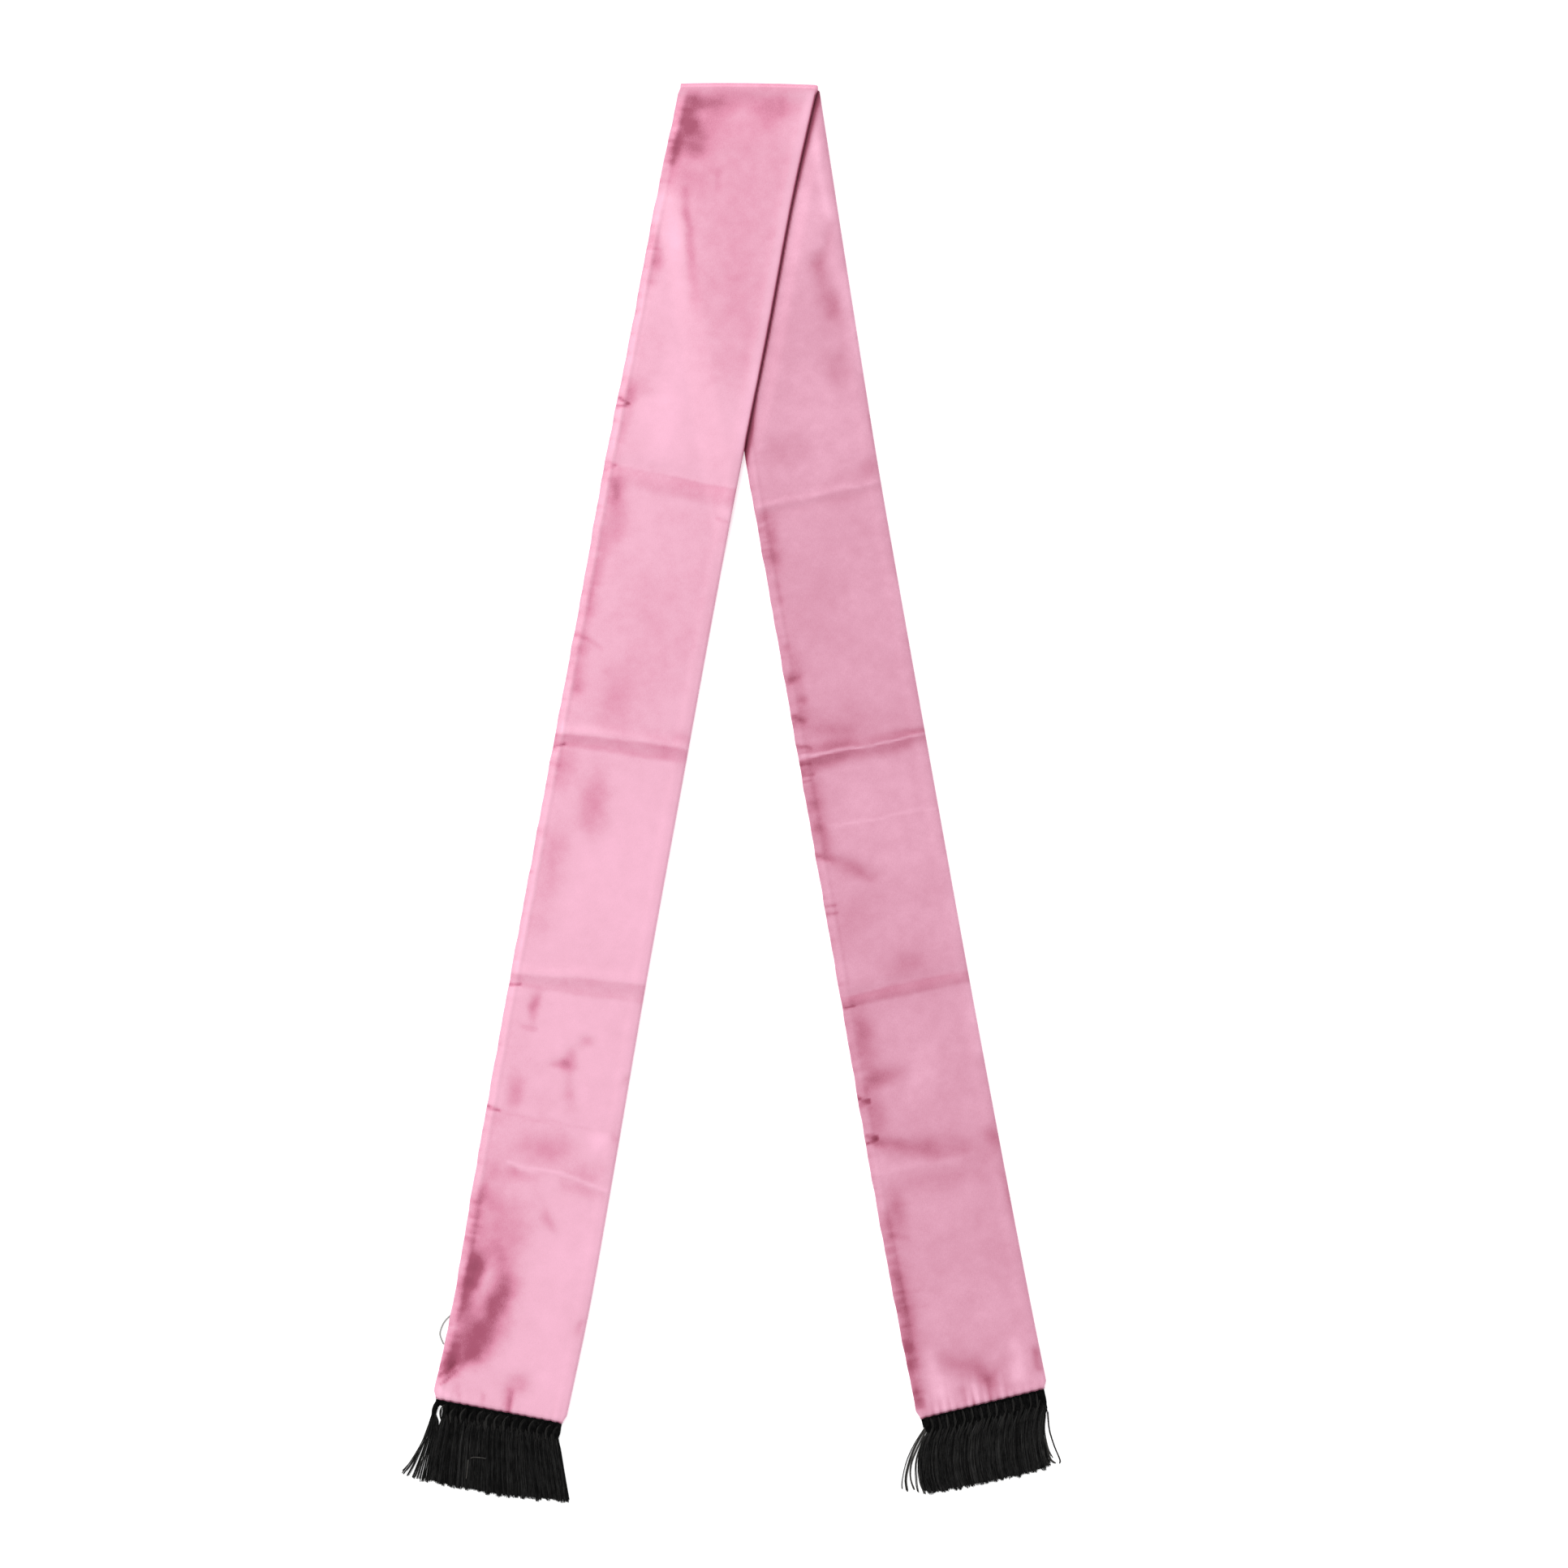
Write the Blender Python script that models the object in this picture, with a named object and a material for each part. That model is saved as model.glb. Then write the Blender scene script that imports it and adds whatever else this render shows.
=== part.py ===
"""Neck scarf of satin with a knotted fringe on each end, laid flat and folded over once at the neck.

One long strip of satin is folded lengthwise into a flat tube of two plies, sewn along its left edge.
The tube bends over once at the neck, so the front stretch lies on the back stretch, and the two
spread apart below the place where they cross. A fringe of knotted bundles is sewn on at each hem.

The scarf lies on z = 0 with +Z up. X runs from the front stretch's hem towards the back stretch's
hem, and Y from the hems up to the neck fold. The origin is the middle of the whole footprint.
Sizes are worked out in millimetres, and the meshes are written in metres.
"""

import math
from typing import Callable, NamedTuple

import bmesh
import bpy
from mathutils import Vector

MILLIMETRE = 0.001

# Cloth: the wall of one ply, and the slit that the two plies keep between them
PLY = 1.1
SLIT = 0.3
TUBE_HEIGHT = 2 * PLY + SLIT
CROWN = 0.9
DIP_FALL = 1.4
EDGE_NOSE = 1.2
NOSE_ROUND = 0.35
NOSE_SHOULDER = 0.18

# Lie of the scarf: where the neck fold is, and how the front stretch rests on the back one
NECK_Y = 437.7
NECK_TILT = 1.0
NECK_SAG = 0.7
NECK_SAG_FADES = 60.0
REST_GAP = 0.3
BEND_INNER_RADIUS = 0.5
BEND_OUTER_RADIUS = TUBE_HEIGHT + BEND_INNER_RADIUS
BEND_SETTLES = 14.0
BEND_STEPS = 8
CROWN_FULL_BELOW_NECK = 40.0
TUCK_UNDER = 15.0
JOINT_GAP = 0.3
STEP_STARTS = 9.0
STEP_ENDS = 29.0
CLEAR_STARTS = 1.5
CLEAR_ENDS = 12.0
TAIL_SLANT = math.radians(10.3)

# Mesh of a stretch: columns across a ply, and the longest run between two rows
COLUMNS = 8
ROW_RUN = 24.0

# Fringe: a heading with knotted bundles, and the locks of thread that hang from each knot
BUNDLES = 15
LOCKS_A_BUNDLE = 7
HEADING_GAP = 0.3
HEADING_DEPTH = 2.2
HEADING_INSET = 2.0
HEADING_BOTTOM = 0.3
HEADING_TOP = 1.9
KNOT_NECK = (0.08, 0.5, 0.92)
KNOT_ROUND = 0.25
LOCK_ROWS = (0.3, 0.65, 1.0)
LOCK_FILL = 0.8
LOCK_HEIGHT = 0.55
LOCK_BOTTOM = 0.2
LOCK_END_WIDTH = 0.85
RAGGED = 1.5

# Edges sharper than this stay sharp in the shading
SHARP_EDGE = math.radians(40.0)


class EdgeRow(NamedTuple):
    """One level of a stretch's outline, in mm."""

    down: float
    left_x: float
    right_x: float


class Crease(NamedTuple):
    """One press mark across a stretch, in mm: a ridge where height is over zero, else a trough."""

    left_down: float
    right_down: float
    half_width: float
    height: float


class Dip(NamedTuple):
    """One broad hollow in the upper ply: across is a share of the width, the rest is in mm."""

    across: float
    down: float
    half_length: float
    half_width: float
    lean: float
    depth: float


class Stretch(NamedTuple):
    """One tail of the scarf, from the neck fold down to its hem."""

    outline: tuple[EdgeRow, ...]
    hem_left_down: float
    hem_right_down: float
    creases: tuple[Crease, ...]
    dips: tuple[Dip, ...]


class Sweep(NamedTuple):
    """How the locks at one place along a fringe hang, in mm but for the two shares."""

    along: float
    drift_half: float
    drift_end: float
    length: float


class Fringe(NamedTuple):
    """One fringe: the stretch that it is sewn to, and how its locks sweep from left to right."""

    stretch: Stretch
    sweeps: tuple[Sweep, ...]
    seed: int


FRONT = Stretch(
    outline=(
        EdgeRow(0.0, -30.8, 54.0),
        EdgeRow(73.8, -46.5, 39.2),
        EdgeRow(153.8, -61.6, 23.1),
        EdgeRow(233.8, -77.6, 7.0),
        EdgeRow(313.8, -91.8, -8.2),
        EdgeRow(433.8, -114.3, -30.1),
        EdgeRow(553.8, -136.5, -51.8),
        EdgeRow(673.8, -158.0, -72.4),
        EdgeRow(753.8, -171.6, -86.6),
        EdgeRow(826.0, -187.3, -101.8),
    ),
    hem_left_down=807.0,
    hem_right_down=824.4,
    creases=(
        Crease(240.0, 253.0, 6.5, -0.55),
        Crease(405.0, 413.0, 4.5, 0.6),
        Crease(553.5, 560.0, 4.5, 0.6),
        Crease(634.0, 645.0, 4.0, 0.35),
        Crease(660.0, 679.0, 4.0, 0.4),
    ),
    dips=(
        Dip(0.22, 32.0, 26.0, 14.0, 0.0, 0.8),
        Dip(0.45, 112.0, 30.0, 12.0, -8.0, 0.45),
        Dip(0.30, 462.0, 30.0, 14.0, 0.0, 0.45),
        Dip(0.45, 600.0, 26.0, 18.0, -30.0, 0.5),
        Dip(0.27, 758.0, 36.0, 16.0, 22.0, 0.85),
    ),
)

BACK = Stretch(
    outline=(
        EdgeRow(0.0, -30.8, 54.4),
        EdgeRow(73.8, -18.1, 65.5),
        EdgeRow(153.8, -4.3, 78.0),
        EdgeRow(233.8, 9.5, 90.7),
        EdgeRow(313.8, 23.8, 104.6),
        EdgeRow(433.8, 44.9, 126.0),
        EdgeRow(553.8, 66.0, 147.6),
        EdgeRow(673.8, 86.8, 170.0),
        EdgeRow(753.8, 101.0, 185.4),
        EdgeRow(822.0, 113.8, 199.2),
    ),
    hem_left_down=820.8,
    hem_right_down=803.3,
    creases=(
        Crease(259.0, 248.5, 5.0, 0.35),
        Crease(416.0, 402.0, 3.5, 0.7),
        Crease(462.0, 448.5, 4.0, 0.3),
        Crease(566.0, 550.5, 6.0, -0.55),
        Crease(655.5, 641.5, 3.5, 0.65),
        Crease(676.0, 665.5, 6.0, -0.4),
    ),
    dips=(
        Dip(0.72, 120.0, 34.0, 12.0, 12.0, 0.7),
        Dip(0.30, 505.0, 34.0, 16.0, 6.0, 0.4),
        Dip(0.25, 700.0, 34.0, 16.0, 8.0, 0.5),
        Dip(0.45, 792.0, 14.0, 34.0, 0.0, 0.6),
    ),
)

FRONT_FRINGE = Fringe(
    stretch=FRONT,
    sweeps=(
        Sweep(0.0, -4.8, -14.2, 51.6),
        Sweep(0.02, -2.2, -4.4, 53.8),
        Sweep(0.045, -0.6, -0.4, 52.6),
        Sweep(0.2, 1.0, 3.4, 53.4),
        Sweep(0.5, 3.6, 8.2, 53.4),
        Sweep(0.65, 4.6, 10.0, 52.2),
        Sweep(0.85, 5.8, 12.2, 50.6),
        Sweep(1.0, 6.8, 13.9, 48.8),
    ),
    seed=3,
)

BACK_FRINGE = Fringe(
    stretch=BACK,
    sweeps=(
        Sweep(0.0, -12.0, -19.6, 45.6),
        Sweep(0.03, -8.4, -14.5, 47.6),
        Sweep(0.055, -6.0, -11.4, 48.8),
        Sweep(0.3, -4.6, -10.0, 50.4),
        Sweep(0.6, -3.8, -8.4, 51.0),
        Sweep(0.9, -3.0, -6.4, 50.2),
        Sweep(0.96, -2.2, -4.2, 49.0),
        Sweep(0.985, -0.8, -1.8, 47.0),
        Sweep(1.0, 0.6, 1.4, 45.2),
    ),
    seed=8,
)


def blend(start: float, end: float, share: float) -> float:
    """The value that lies a share of the way from start to end."""
    return start + (end - start) * share


def ease(start: float, end: float, value: float) -> float:
    """A soft step from 0 at start to 1 at end."""
    share = min(1.0, max(0.0, (value - start) / (end - start)))
    return share * share * (3.0 - 2.0 * share)


def curve_through(places: list[float], values: list[float], at: float) -> float:
    """A smooth curve through the values at rising places, with a slope at each from its neighbours."""
    last = len(places) - 1
    span = next((i for i in range(last) if at <= places[i + 1]), last - 1)

    def slope(i: int) -> float:
        low, high = max(0, i - 1), min(last, i + 1)
        return (values[high] - values[low]) / (places[high] - places[low])

    run = places[span + 1] - places[span]
    t = min(1.0, max(0.0, (at - places[span]) / run))
    start_weight = 2 * t**3 - 3 * t**2 + 1
    end_weight = 3 * t**2 - 2 * t**3
    start_slope = (t**3 - 2 * t**2 + t) * run * slope(span)
    end_slope = (t**3 - t**2) * run * slope(span + 1)
    return start_weight * values[span] + end_weight * values[span + 1] + start_slope + end_slope


def edge_x(stretch: Stretch, down: float, right: bool) -> float:
    """Where a stretch's left or right edge lies at a level below the neck fold."""
    levels = [row.down for row in stretch.outline]
    edges = [row.right_x if right else row.left_x for row in stretch.outline]
    return curve_through(levels, edges, down)


def neck_line(x: float) -> float:
    """The place in y of the neck fold, which bows a little above its two ends and drops to the right."""
    left, right = FRONT.outline[0].left_x, FRONT.outline[0].right_x
    share = (x - left) / (right - left)
    return NECK_Y - NECK_TILT * (share - 0.5) - NECK_SAG * (2 * share - 1) ** 2


def relief(stretch: Stretch, across: float, down: float, left_down: float, right_down: float) -> float:
    """How far the upper ply stands off the lower one beyond the slit: crown, creases and dips."""
    crown = CROWN * math.sqrt(max(0.0, math.sin(math.pi * across)))
    height = crown
    for crease in stretch.creases:
        off_left = (left_down - crease.left_down) / crease.half_width
        off_right = (right_down - crease.right_down) / crease.half_width
        off = blend(off_left, off_right, across)
        height += crease.height * max(0.0, 1 - abs(off)) * crown / CROWN
    for dip in stretch.dips:
        lean = math.radians(dip.lean)
        width = edge_x(stretch, down, True) - edge_x(stretch, down, False)
        x, y = (across - dip.across) * width, dip.down - down
        along = (x * math.sin(lean) + y * math.cos(lean)) / dip.half_length
        side = (x * math.cos(lean) - y * math.sin(lean)) / dip.half_width
        height -= dip.depth * math.exp(-DIP_FALL * (along * along + side * side))
    return max(0.0, height)


def front_rest_height(x: float, down: float) -> float:
    """How high the front stretch's underside lies: on the back stretch, and beside it on the ground."""
    off_back = (edge_x(BACK, down, False) - x) * math.cos(TAIL_SLANT)
    rest = (TUBE_HEIGHT + REST_GAP) * (1 - ease(STEP_STARTS, STEP_ENDS, off_back))
    loop = (2 * BEND_INNER_RADIUS - REST_GAP) * (1 - ease(0.0, BEND_SETTLES, down))
    return rest + loop


def back_is_free(x: float, down: float) -> float:
    """0 where the front stretch lies on the back stretch, and 1 well clear of it."""
    off_front = (x - edge_x(FRONT, down, True)) * math.cos(TAIL_SLANT)
    return ease(CLEAR_STARTS, CLEAR_ENDS, off_front)


def below_neck(x: float, down: float) -> float:
    """0 at the neck bend, and 1 where the front stretch has its full crown."""
    return ease(BEND_OUTER_RADIUS, CROWN_FULL_BELOW_NECK, down)


def rows_down(stretch: Stretch, first: float) -> list[tuple[float, float]]:
    """The levels of a stretch's rows at its left and right edges, from the first one to the hem.

    Each crease has a row at its top and at both its sides, and the runs between them are filled evenly.
    """
    marks = [(first, first)]
    for crease in stretch.creases:
        for side in (-crease.half_width, 0.0, crease.half_width):
            marks.append((crease.left_down + side, crease.right_down + side))
    marks.append((stretch.hem_left_down, stretch.hem_right_down))
    rows = [marks[0]]
    for above, below in zip(marks, marks[1:]):
        run = max(below[0] - above[0], below[1] - above[1])
        steps = max(1, math.ceil(run / ROW_RUN))
        for step in range(1, steps + 1):
            share = step / steps
            rows.append((blend(above[0], below[0], share), blend(above[1], below[1], share)))
    return rows


def section_ring(spot: Callable[[float, float], Vector], heights: list[float], nose: float) -> list[Vector]:
    """One section round the folded tube, open at its sewn left edge.

    The spot function gives the point a share of the way across and a height above the outer ply's
    outside. Heights holds the height of the whole tube at each column, and nose is the share of
    the width that the folded right edge takes.
    """
    shares = [blend(0.0, 1.0 - nose, i / COLUMNS) for i in range(COLUMNS + 1)]
    fold = heights[-1]
    outer = [spot(share, 0.0) for share in shares]
    inset = 1.0 - NOSE_ROUND * nose
    round_edge = [
        spot(inset, NOSE_SHOULDER * fold),
        spot(1.0, 0.5 * fold),
        spot(inset, (1.0 - NOSE_SHOULDER) * fold),
    ]
    far = [spot(share, height) for share, height in zip(shares, heights)]
    far_inside = [spot(share, height - PLY) for share, height in zip(shares, heights)]
    outer_inside = [spot(share, PLY) for share in shares]
    return outer + round_edge + far[::-1] + far_inside + outer_inside[::-1]


def loft_sections(name: str, rings: list[list[Vector]]) -> bpy.types.Object:
    """Joins section rings into one closed tube with a slit, and closes its two ends."""
    mesh = bmesh.new()
    grid = [[mesh.verts.new(point * MILLIMETRE) for point in ring] for ring in rings]
    count = len(rings[0])
    for ring, following in zip(grid, grid[1:]):
        for i in range(count):
            j = (i + 1) % count
            mesh.faces.new((ring[i], ring[j], following[j], following[i]))
    last = COLUMNS
    far_start = COLUMNS + 4
    inside_start = far_start + COLUMNS + 1
    outer_inside_start = inside_start + COLUMNS + 1
    for ring in (grid[0], grid[-1]):
        outer = ring[: COLUMNS + 1]
        far = ring[far_start:inside_start][::-1]
        far_inside = ring[inside_start:outer_inside_start]
        outer_inside = ring[outer_inside_start:][::-1]
        for i in range(COLUMNS):
            mesh.faces.new((outer[i], outer[i + 1], outer_inside[i + 1], outer_inside[i]))
            mesh.faces.new((far_inside[i], far_inside[i + 1], far[i + 1], far[i]))
        round_edge = ring[last + 1:far_start]
        mesh.faces.new([outer[last], *round_edge, far[last], far_inside[last], outer_inside[last]])
    bmesh.ops.recalc_face_normals(mesh, faces=mesh.faces)
    return finished_object(name, mesh)


def finished_object(name: str, mesh: bmesh.types.BMesh) -> bpy.types.Object:
    """Turns a bmesh into a named object in the scene, shaded smooth but for its sharp edges."""
    data = bpy.data.meshes.new(name)
    mesh.to_mesh(data)
    mesh.free()
    data.shade_smooth()
    data.set_sharp_from_angle(angle=SHARP_EDGE)
    item = bpy.data.objects.new(name, data)
    bpy.context.scene.collection.objects.link(item)
    return item


def row_place(stretch: Stretch, row: tuple[float, float], across: float) -> tuple[float, float, float]:
    """The x, y and level of a point a share of the way across one row of a stretch."""
    x = blend(edge_x(stretch, row[0], False), edge_x(stretch, row[1], True), across)
    down = blend(row[0], row[1], across)
    bow = (NECK_Y - neck_line(x)) * (1 - ease(0.0, NECK_SAG_FADES, down))
    return x, NECK_Y - bow - down, down


def nose_share(stretch: Stretch, row: tuple[float, float]) -> float:
    """The share of a row's width that the rounded folded edge takes."""
    width = edge_x(stretch, row[1], True) - edge_x(stretch, row[0], False)
    return EDGE_NOSE / width


def column_heights(
    stretch: Stretch, row: tuple[float, float], free: Callable[[float, float], float]
) -> list[float]:
    """The height of the tube at each column of a row, with its relief where free is over 0."""
    heights = []
    nose = nose_share(stretch, row)
    for i in range(COLUMNS + 1):
        across = blend(0.0, 1.0 - nose, i / COLUMNS)
        x, _, down = row_place(stretch, row, across)
        lift = relief(stretch, i / COLUMNS, down, row[0], row[1])
        heights.append(TUBE_HEIGHT + lift * free(x, down))
    return heights


def lying_spot(stretch: Stretch, row: tuple[float, float]) -> Callable[[float, float], Vector]:
    """Places a back row's points: the outer ply is beneath, on the ground."""

    def spot(across: float, height: float) -> Vector:
        x, y, _ = row_place(stretch, row, across)
        return Vector((x, y, height))

    return spot


def bend_spot(angle: float) -> Callable[[float, float], Vector]:
    """Places a row of the neck bend, turned from the ground (0) to the front stretch (pi)."""

    def spot(across: float, height: float) -> Vector:
        x = blend(FRONT.outline[0].left_x, FRONT.outline[0].right_x, across)
        reach = BEND_OUTER_RADIUS - height
        y = neck_line(x) - BEND_OUTER_RADIUS + reach * math.sin(angle)
        return Vector((x, y, BEND_OUTER_RADIUS - reach * math.cos(angle)))

    return spot


def top_spot(row: tuple[float, float], heights: list[float]) -> Callable[[float, float], Vector]:
    """Places a front row's points: the outer ply is on top, and the tube rests on what is below it."""
    nose = nose_share(FRONT, row)

    def spot(across: float, height: float) -> Vector:
        x, y, down = row_place(FRONT, row, across)
        column = min(COLUMNS, round(across / (1.0 - nose) * COLUMNS))
        tube = heights[column]
        return Vector((x, y, front_rest_height(x, down) + tube - height))

    return spot


def make_front_stretch() -> bpy.types.Object:
    """The stretch on top: a short run tucked under the neck, the bend, and the front tail."""
    flat = [TUBE_HEIGHT] * (COLUMNS + 1)
    rings = []
    for down in (TUCK_UNDER, 0.5 * (TUCK_UNDER + BEND_OUTER_RADIUS)):
        row = (down, down)
        rings.append(section_ring(lying_spot(BACK, row), flat, nose_share(BACK, row)))
    for step in range(BEND_STEPS + 1):
        angle = math.pi * step / BEND_STEPS
        rings.append(section_ring(bend_spot(angle), flat, nose_share(FRONT, (0.0, 0.0))))
    for row in rows_down(FRONT, 0.5 * BEND_SETTLES):
        heights = column_heights(FRONT, row, below_neck)
        rings.append(section_ring(top_spot(row, heights), heights, nose_share(FRONT, row)))
    return loft_sections("front_stretch", rings)


def make_back_stretch() -> bpy.types.Object:
    """The stretch beneath: from the joint under the neck down to its hem."""
    rings = []
    for row in rows_down(BACK, TUCK_UNDER + JOINT_GAP):
        heights = column_heights(BACK, row, back_is_free)
        rings.append(section_ring(lying_spot(BACK, row), heights, nose_share(BACK, row)))
    return loft_sections("back_stretch", rings)


class KnotSection(NamedTuple):
    """One section of a knotted bundle, in mm, with its width as a share of the bundles' pitch."""

    below: float
    width_share: float
    bottom: float
    top: float


KNOT_SECTIONS = (
    KnotSection(4.0, 0.86, 0.25, 2.3),
    KnotSection(6.4, 0.68, 0.3, 1.7),
)
FLARE = KnotSection(9.5, 0.96, 0.3, 1.3)


class FringeFrame:
    """Places points of one fringe by how far along the hem and how far below it they are."""

    def __init__(self, fringe: Fringe) -> None:
        stretch = fringe.stretch
        row = (stretch.hem_left_down, stretch.hem_right_down)
        self.start = Vector((*row_place(stretch, row, 0.0)[:2], 0.0))
        end = Vector((*row_place(stretch, row, 1.0)[:2], 0.0))
        self.along_hem = (end - self.start).normalized()
        self.away = Vector((self.along_hem.y, -self.along_hem.x, 0.0))
        self.start += self.along_hem * HEADING_INSET
        self.width = (end - self.start).length - HEADING_INSET
        self.sweeps = fringe.sweeps

    def point(self, along: float, below: float, height: float) -> Vector:
        """The point that lies so many mm along the heading, below the hem and above the ground."""
        return self.start + self.along_hem * along + self.away * below + Vector((0.0, 0.0, height))

    def sweep(self, share: float) -> Sweep:
        """How a lock at this share of the heading's width hangs."""
        places = [sweep.along for sweep in self.sweeps]
        i = next((i for i in range(len(places) - 1) if share <= places[i + 1]), len(places) - 2)
        low, high = self.sweeps[i], self.sweeps[i + 1]
        t = (share - low.along) / (high.along - low.along)
        return Sweep(share, *(blend(a, b, t) for a, b in zip(low[1:], high[1:])))


class FringeMaker:
    """Builds one fringe as a single closed body: a heading, knotted bundles and hanging locks."""

    def __init__(self, fringe: Fringe) -> None:
        self.frame = FringeFrame(fringe)
        self.pitch = self.frame.width / BUNDLES
        self.seed = fringe.seed
        self.mesh = bmesh.new()

    def vert(self, along: float, below: float, height: float) -> bmesh.types.BMVert:
        """A new mesh point, given in mm in the fringe's frame."""
        return self.mesh.verts.new(self.frame.point(along, below, height) * MILLIMETRE)

    def band(self, first: list, second: list) -> None:
        """Fills the band between two rows of points with triangles, keeping the short diagonals."""
        i = j = 0
        while i < len(first) - 1 or j < len(second) - 1:
            first_next = (i + 1) / max(1, len(first) - 1)
            second_next = (j + 1) / max(1, len(second) - 1)
            if j == len(second) - 1 or (i < len(first) - 1 and first_next <= second_next):
                self.mesh.faces.new((first[i], first[i + 1], second[j]))
                i += 1
            else:
                self.mesh.faces.new((first[i], second[j + 1], second[j]))
                j += 1

    def join_rings(self, ring: list[list], following: list[list]) -> None:
        """Closes the band between two sections of a bundle, each a bottom and a top row."""
        for level in (0, 1):
            self.band(ring[level], following[level])
        for side in (0, -1):
            self.mesh.faces.new((ring[0][side], ring[1][side], following[1][side], following[0][side]))

    def heading(self) -> list[list[list]]:
        """The strip along the hem. Gives the open ring that each bundle grows from."""
        levels = (HEADING_BOTTOM, HEADING_TOP)
        front_line = HEADING_GAP + HEADING_DEPTH
        columns = range(BUNDLES + 1)
        back = [[self.vert(j * self.pitch, HEADING_GAP, level) for j in columns] for level in levels]
        roots = []
        for j in range(BUNDLES):
            places = [(j + share) * self.pitch for share in KNOT_NECK]
            roots.append([[self.vert(place, front_line, level) for place in places] for level in levels])
        corners = (0.0, self.frame.width)
        ends = [[self.vert(place, front_line, level) for level in levels] for place in corners]
        for level in (0, 1):
            front = [ends[0][level], *(v for root in roots for v in root[level]), ends[1][level]]
            self.band(front, back[level])
        for j in range(BUNDLES):
            self.mesh.faces.new((back[0][j], back[0][j + 1], back[1][j + 1], back[1][j]))
        for end, column in zip(ends, (0, BUNDLES)):
            self.mesh.faces.new((back[0][column], back[1][column], end[1], end[0]))
        sides = [ends[0]]
        for root in roots:
            sides += [[root[0][0], root[1][0]], [root[0][-1], root[1][-1]]]
        sides.append(ends[1])
        for left, right in zip(sides[::2], sides[1::2]):
            self.mesh.faces.new((left[0], right[0], right[1], left[1]))
        return roots

    def bundle(self, number: int, root: list[list]) -> None:
        """One knotted bundle, with the locks that hang from its flared end."""
        middle = (number + 0.5) * self.pitch
        ring = root
        for section in KNOT_SECTIONS:
            half = 0.5 * section.width_share * self.pitch
            places = (middle - half, middle, middle + half)
            shoulder = section.top - KNOT_ROUND * (section.top - section.bottom)
            tops = (shoulder, section.top, shoulder)
            following = [
                [self.vert(place, section.below, section.bottom) for place in places],
                [self.vert(place, section.below, top) for place, top in zip(places, tops)],
            ]
            self.join_rings(ring, following)
            ring = following
        half = 0.5 * FLARE.width_share * self.pitch
        lock_pitch = 2 * half / LOCKS_A_BUNDLE
        lock_half = 0.5 * LOCK_FILL * lock_pitch
        centres = [middle - half + (k + 0.5) * lock_pitch for k in range(LOCKS_A_BUNDLE)]
        places = [centre + side for centre in centres for side in (-lock_half, lock_half)]
        levels = (FLARE.bottom, FLARE.top)
        flare = [[self.vert(place, FLARE.below, level) for place in places] for level in levels]
        self.join_rings(ring, flare)
        low, high = flare
        for k in range(1, len(places) - 1, 2):
            self.mesh.faces.new((low[k], low[k + 1], high[k + 1], high[k]))
        for k, centre in enumerate(centres):
            base = [low[2 * k], low[2 * k + 1], high[2 * k + 1], high[2 * k]]
            self.lock(base, centre, lock_half, number * LOCKS_A_BUNDLE + k)

    def lock(self, base: list, centre: float, half: float, order: int) -> None:
        """One lock of thread with four sides, from its place on the bundle to its ragged end."""
        sweep = self.frame.sweep(centre / self.frame.width)
        ragged = RAGGED * math.sin(2.4 * order + self.seed) * math.sin(0.9 * order + 2 * self.seed)
        bulge = sweep.drift_half - 0.25 * sweep.drift_end
        ring = base
        for share in LOCK_ROWS:
            below = blend(FLARE.below, sweep.length + ragged, share)
            drift = sweep.drift_end * share**2 + bulge * 4 * share * (1 - share)
            thin = half * blend(1.0, LOCK_END_WIDTH, share)
            low = blend(FLARE.bottom, LOCK_BOTTOM, share)
            high = low + blend(FLARE.top - FLARE.bottom, LOCK_HEIGHT, min(1.0, 2 * share))
            corners = ((-thin, low), (thin, low), (thin, high), (-thin, high))
            following = [self.vert(centre + drift + side, below, height) for side, height in corners]
            for i in range(4):
                j = (i + 1) % 4
                self.mesh.faces.new((ring[i], ring[j], following[j], following[i]))
            ring = following
        self.mesh.faces.new(ring)

    def make(self, name: str) -> bpy.types.Object:
        """Builds the whole fringe as one object."""
        for number, root in enumerate(self.heading()):
            self.bundle(number, root)
        bmesh.ops.recalc_face_normals(self.mesh, faces=self.mesh.faces)
        return finished_object(name, self.mesh)


class Finish(NamedTuple):
    """The look of one piece."""

    name: str
    colour: tuple[float, float, float]
    roughness: float
    sheen: float


def dress(item: bpy.types.Object, finish: Finish) -> None:
    """Gives a piece its own material."""
    material = bpy.data.materials.new(finish.name)
    material.use_nodes = True
    shader = material.node_tree.nodes["Principled BSDF"]
    shader.inputs["Base Color"].default_value = (*finish.colour, 1.0)
    shader.inputs["Roughness"].default_value = finish.roughness
    shader.inputs["Metallic"].default_value = 0.0
    shader.inputs["Sheen Weight"].default_value = finish.sheen
    item.data.materials.append(material)


FRONT_SATIN = Finish("front_satin", (0.86, 0.43, 0.58), 0.38, 0.3)
BACK_SATIN = Finish("back_satin", (0.80, 0.39, 0.53), 0.38, 0.3)
FRONT_THREAD = Finish("front_fringe_thread", (0.012, 0.011, 0.012), 0.6, 0.1)
BACK_THREAD = Finish("back_fringe_thread", (0.012, 0.011, 0.012), 0.6, 0.1)


def main() -> None:
    """Clears the scene, then makes the two stretches and the two fringes."""
    for item in list(bpy.data.objects):
        bpy.data.objects.remove(item, do_unlink=True)
    dress(make_front_stretch(), FRONT_SATIN)
    dress(make_back_stretch(), BACK_SATIN)
    dress(FringeMaker(FRONT_FRINGE).make("front_fringe"), FRONT_THREAD)
    dress(FringeMaker(BACK_FRINGE).make("back_fringe"), BACK_THREAD)


main()
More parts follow.
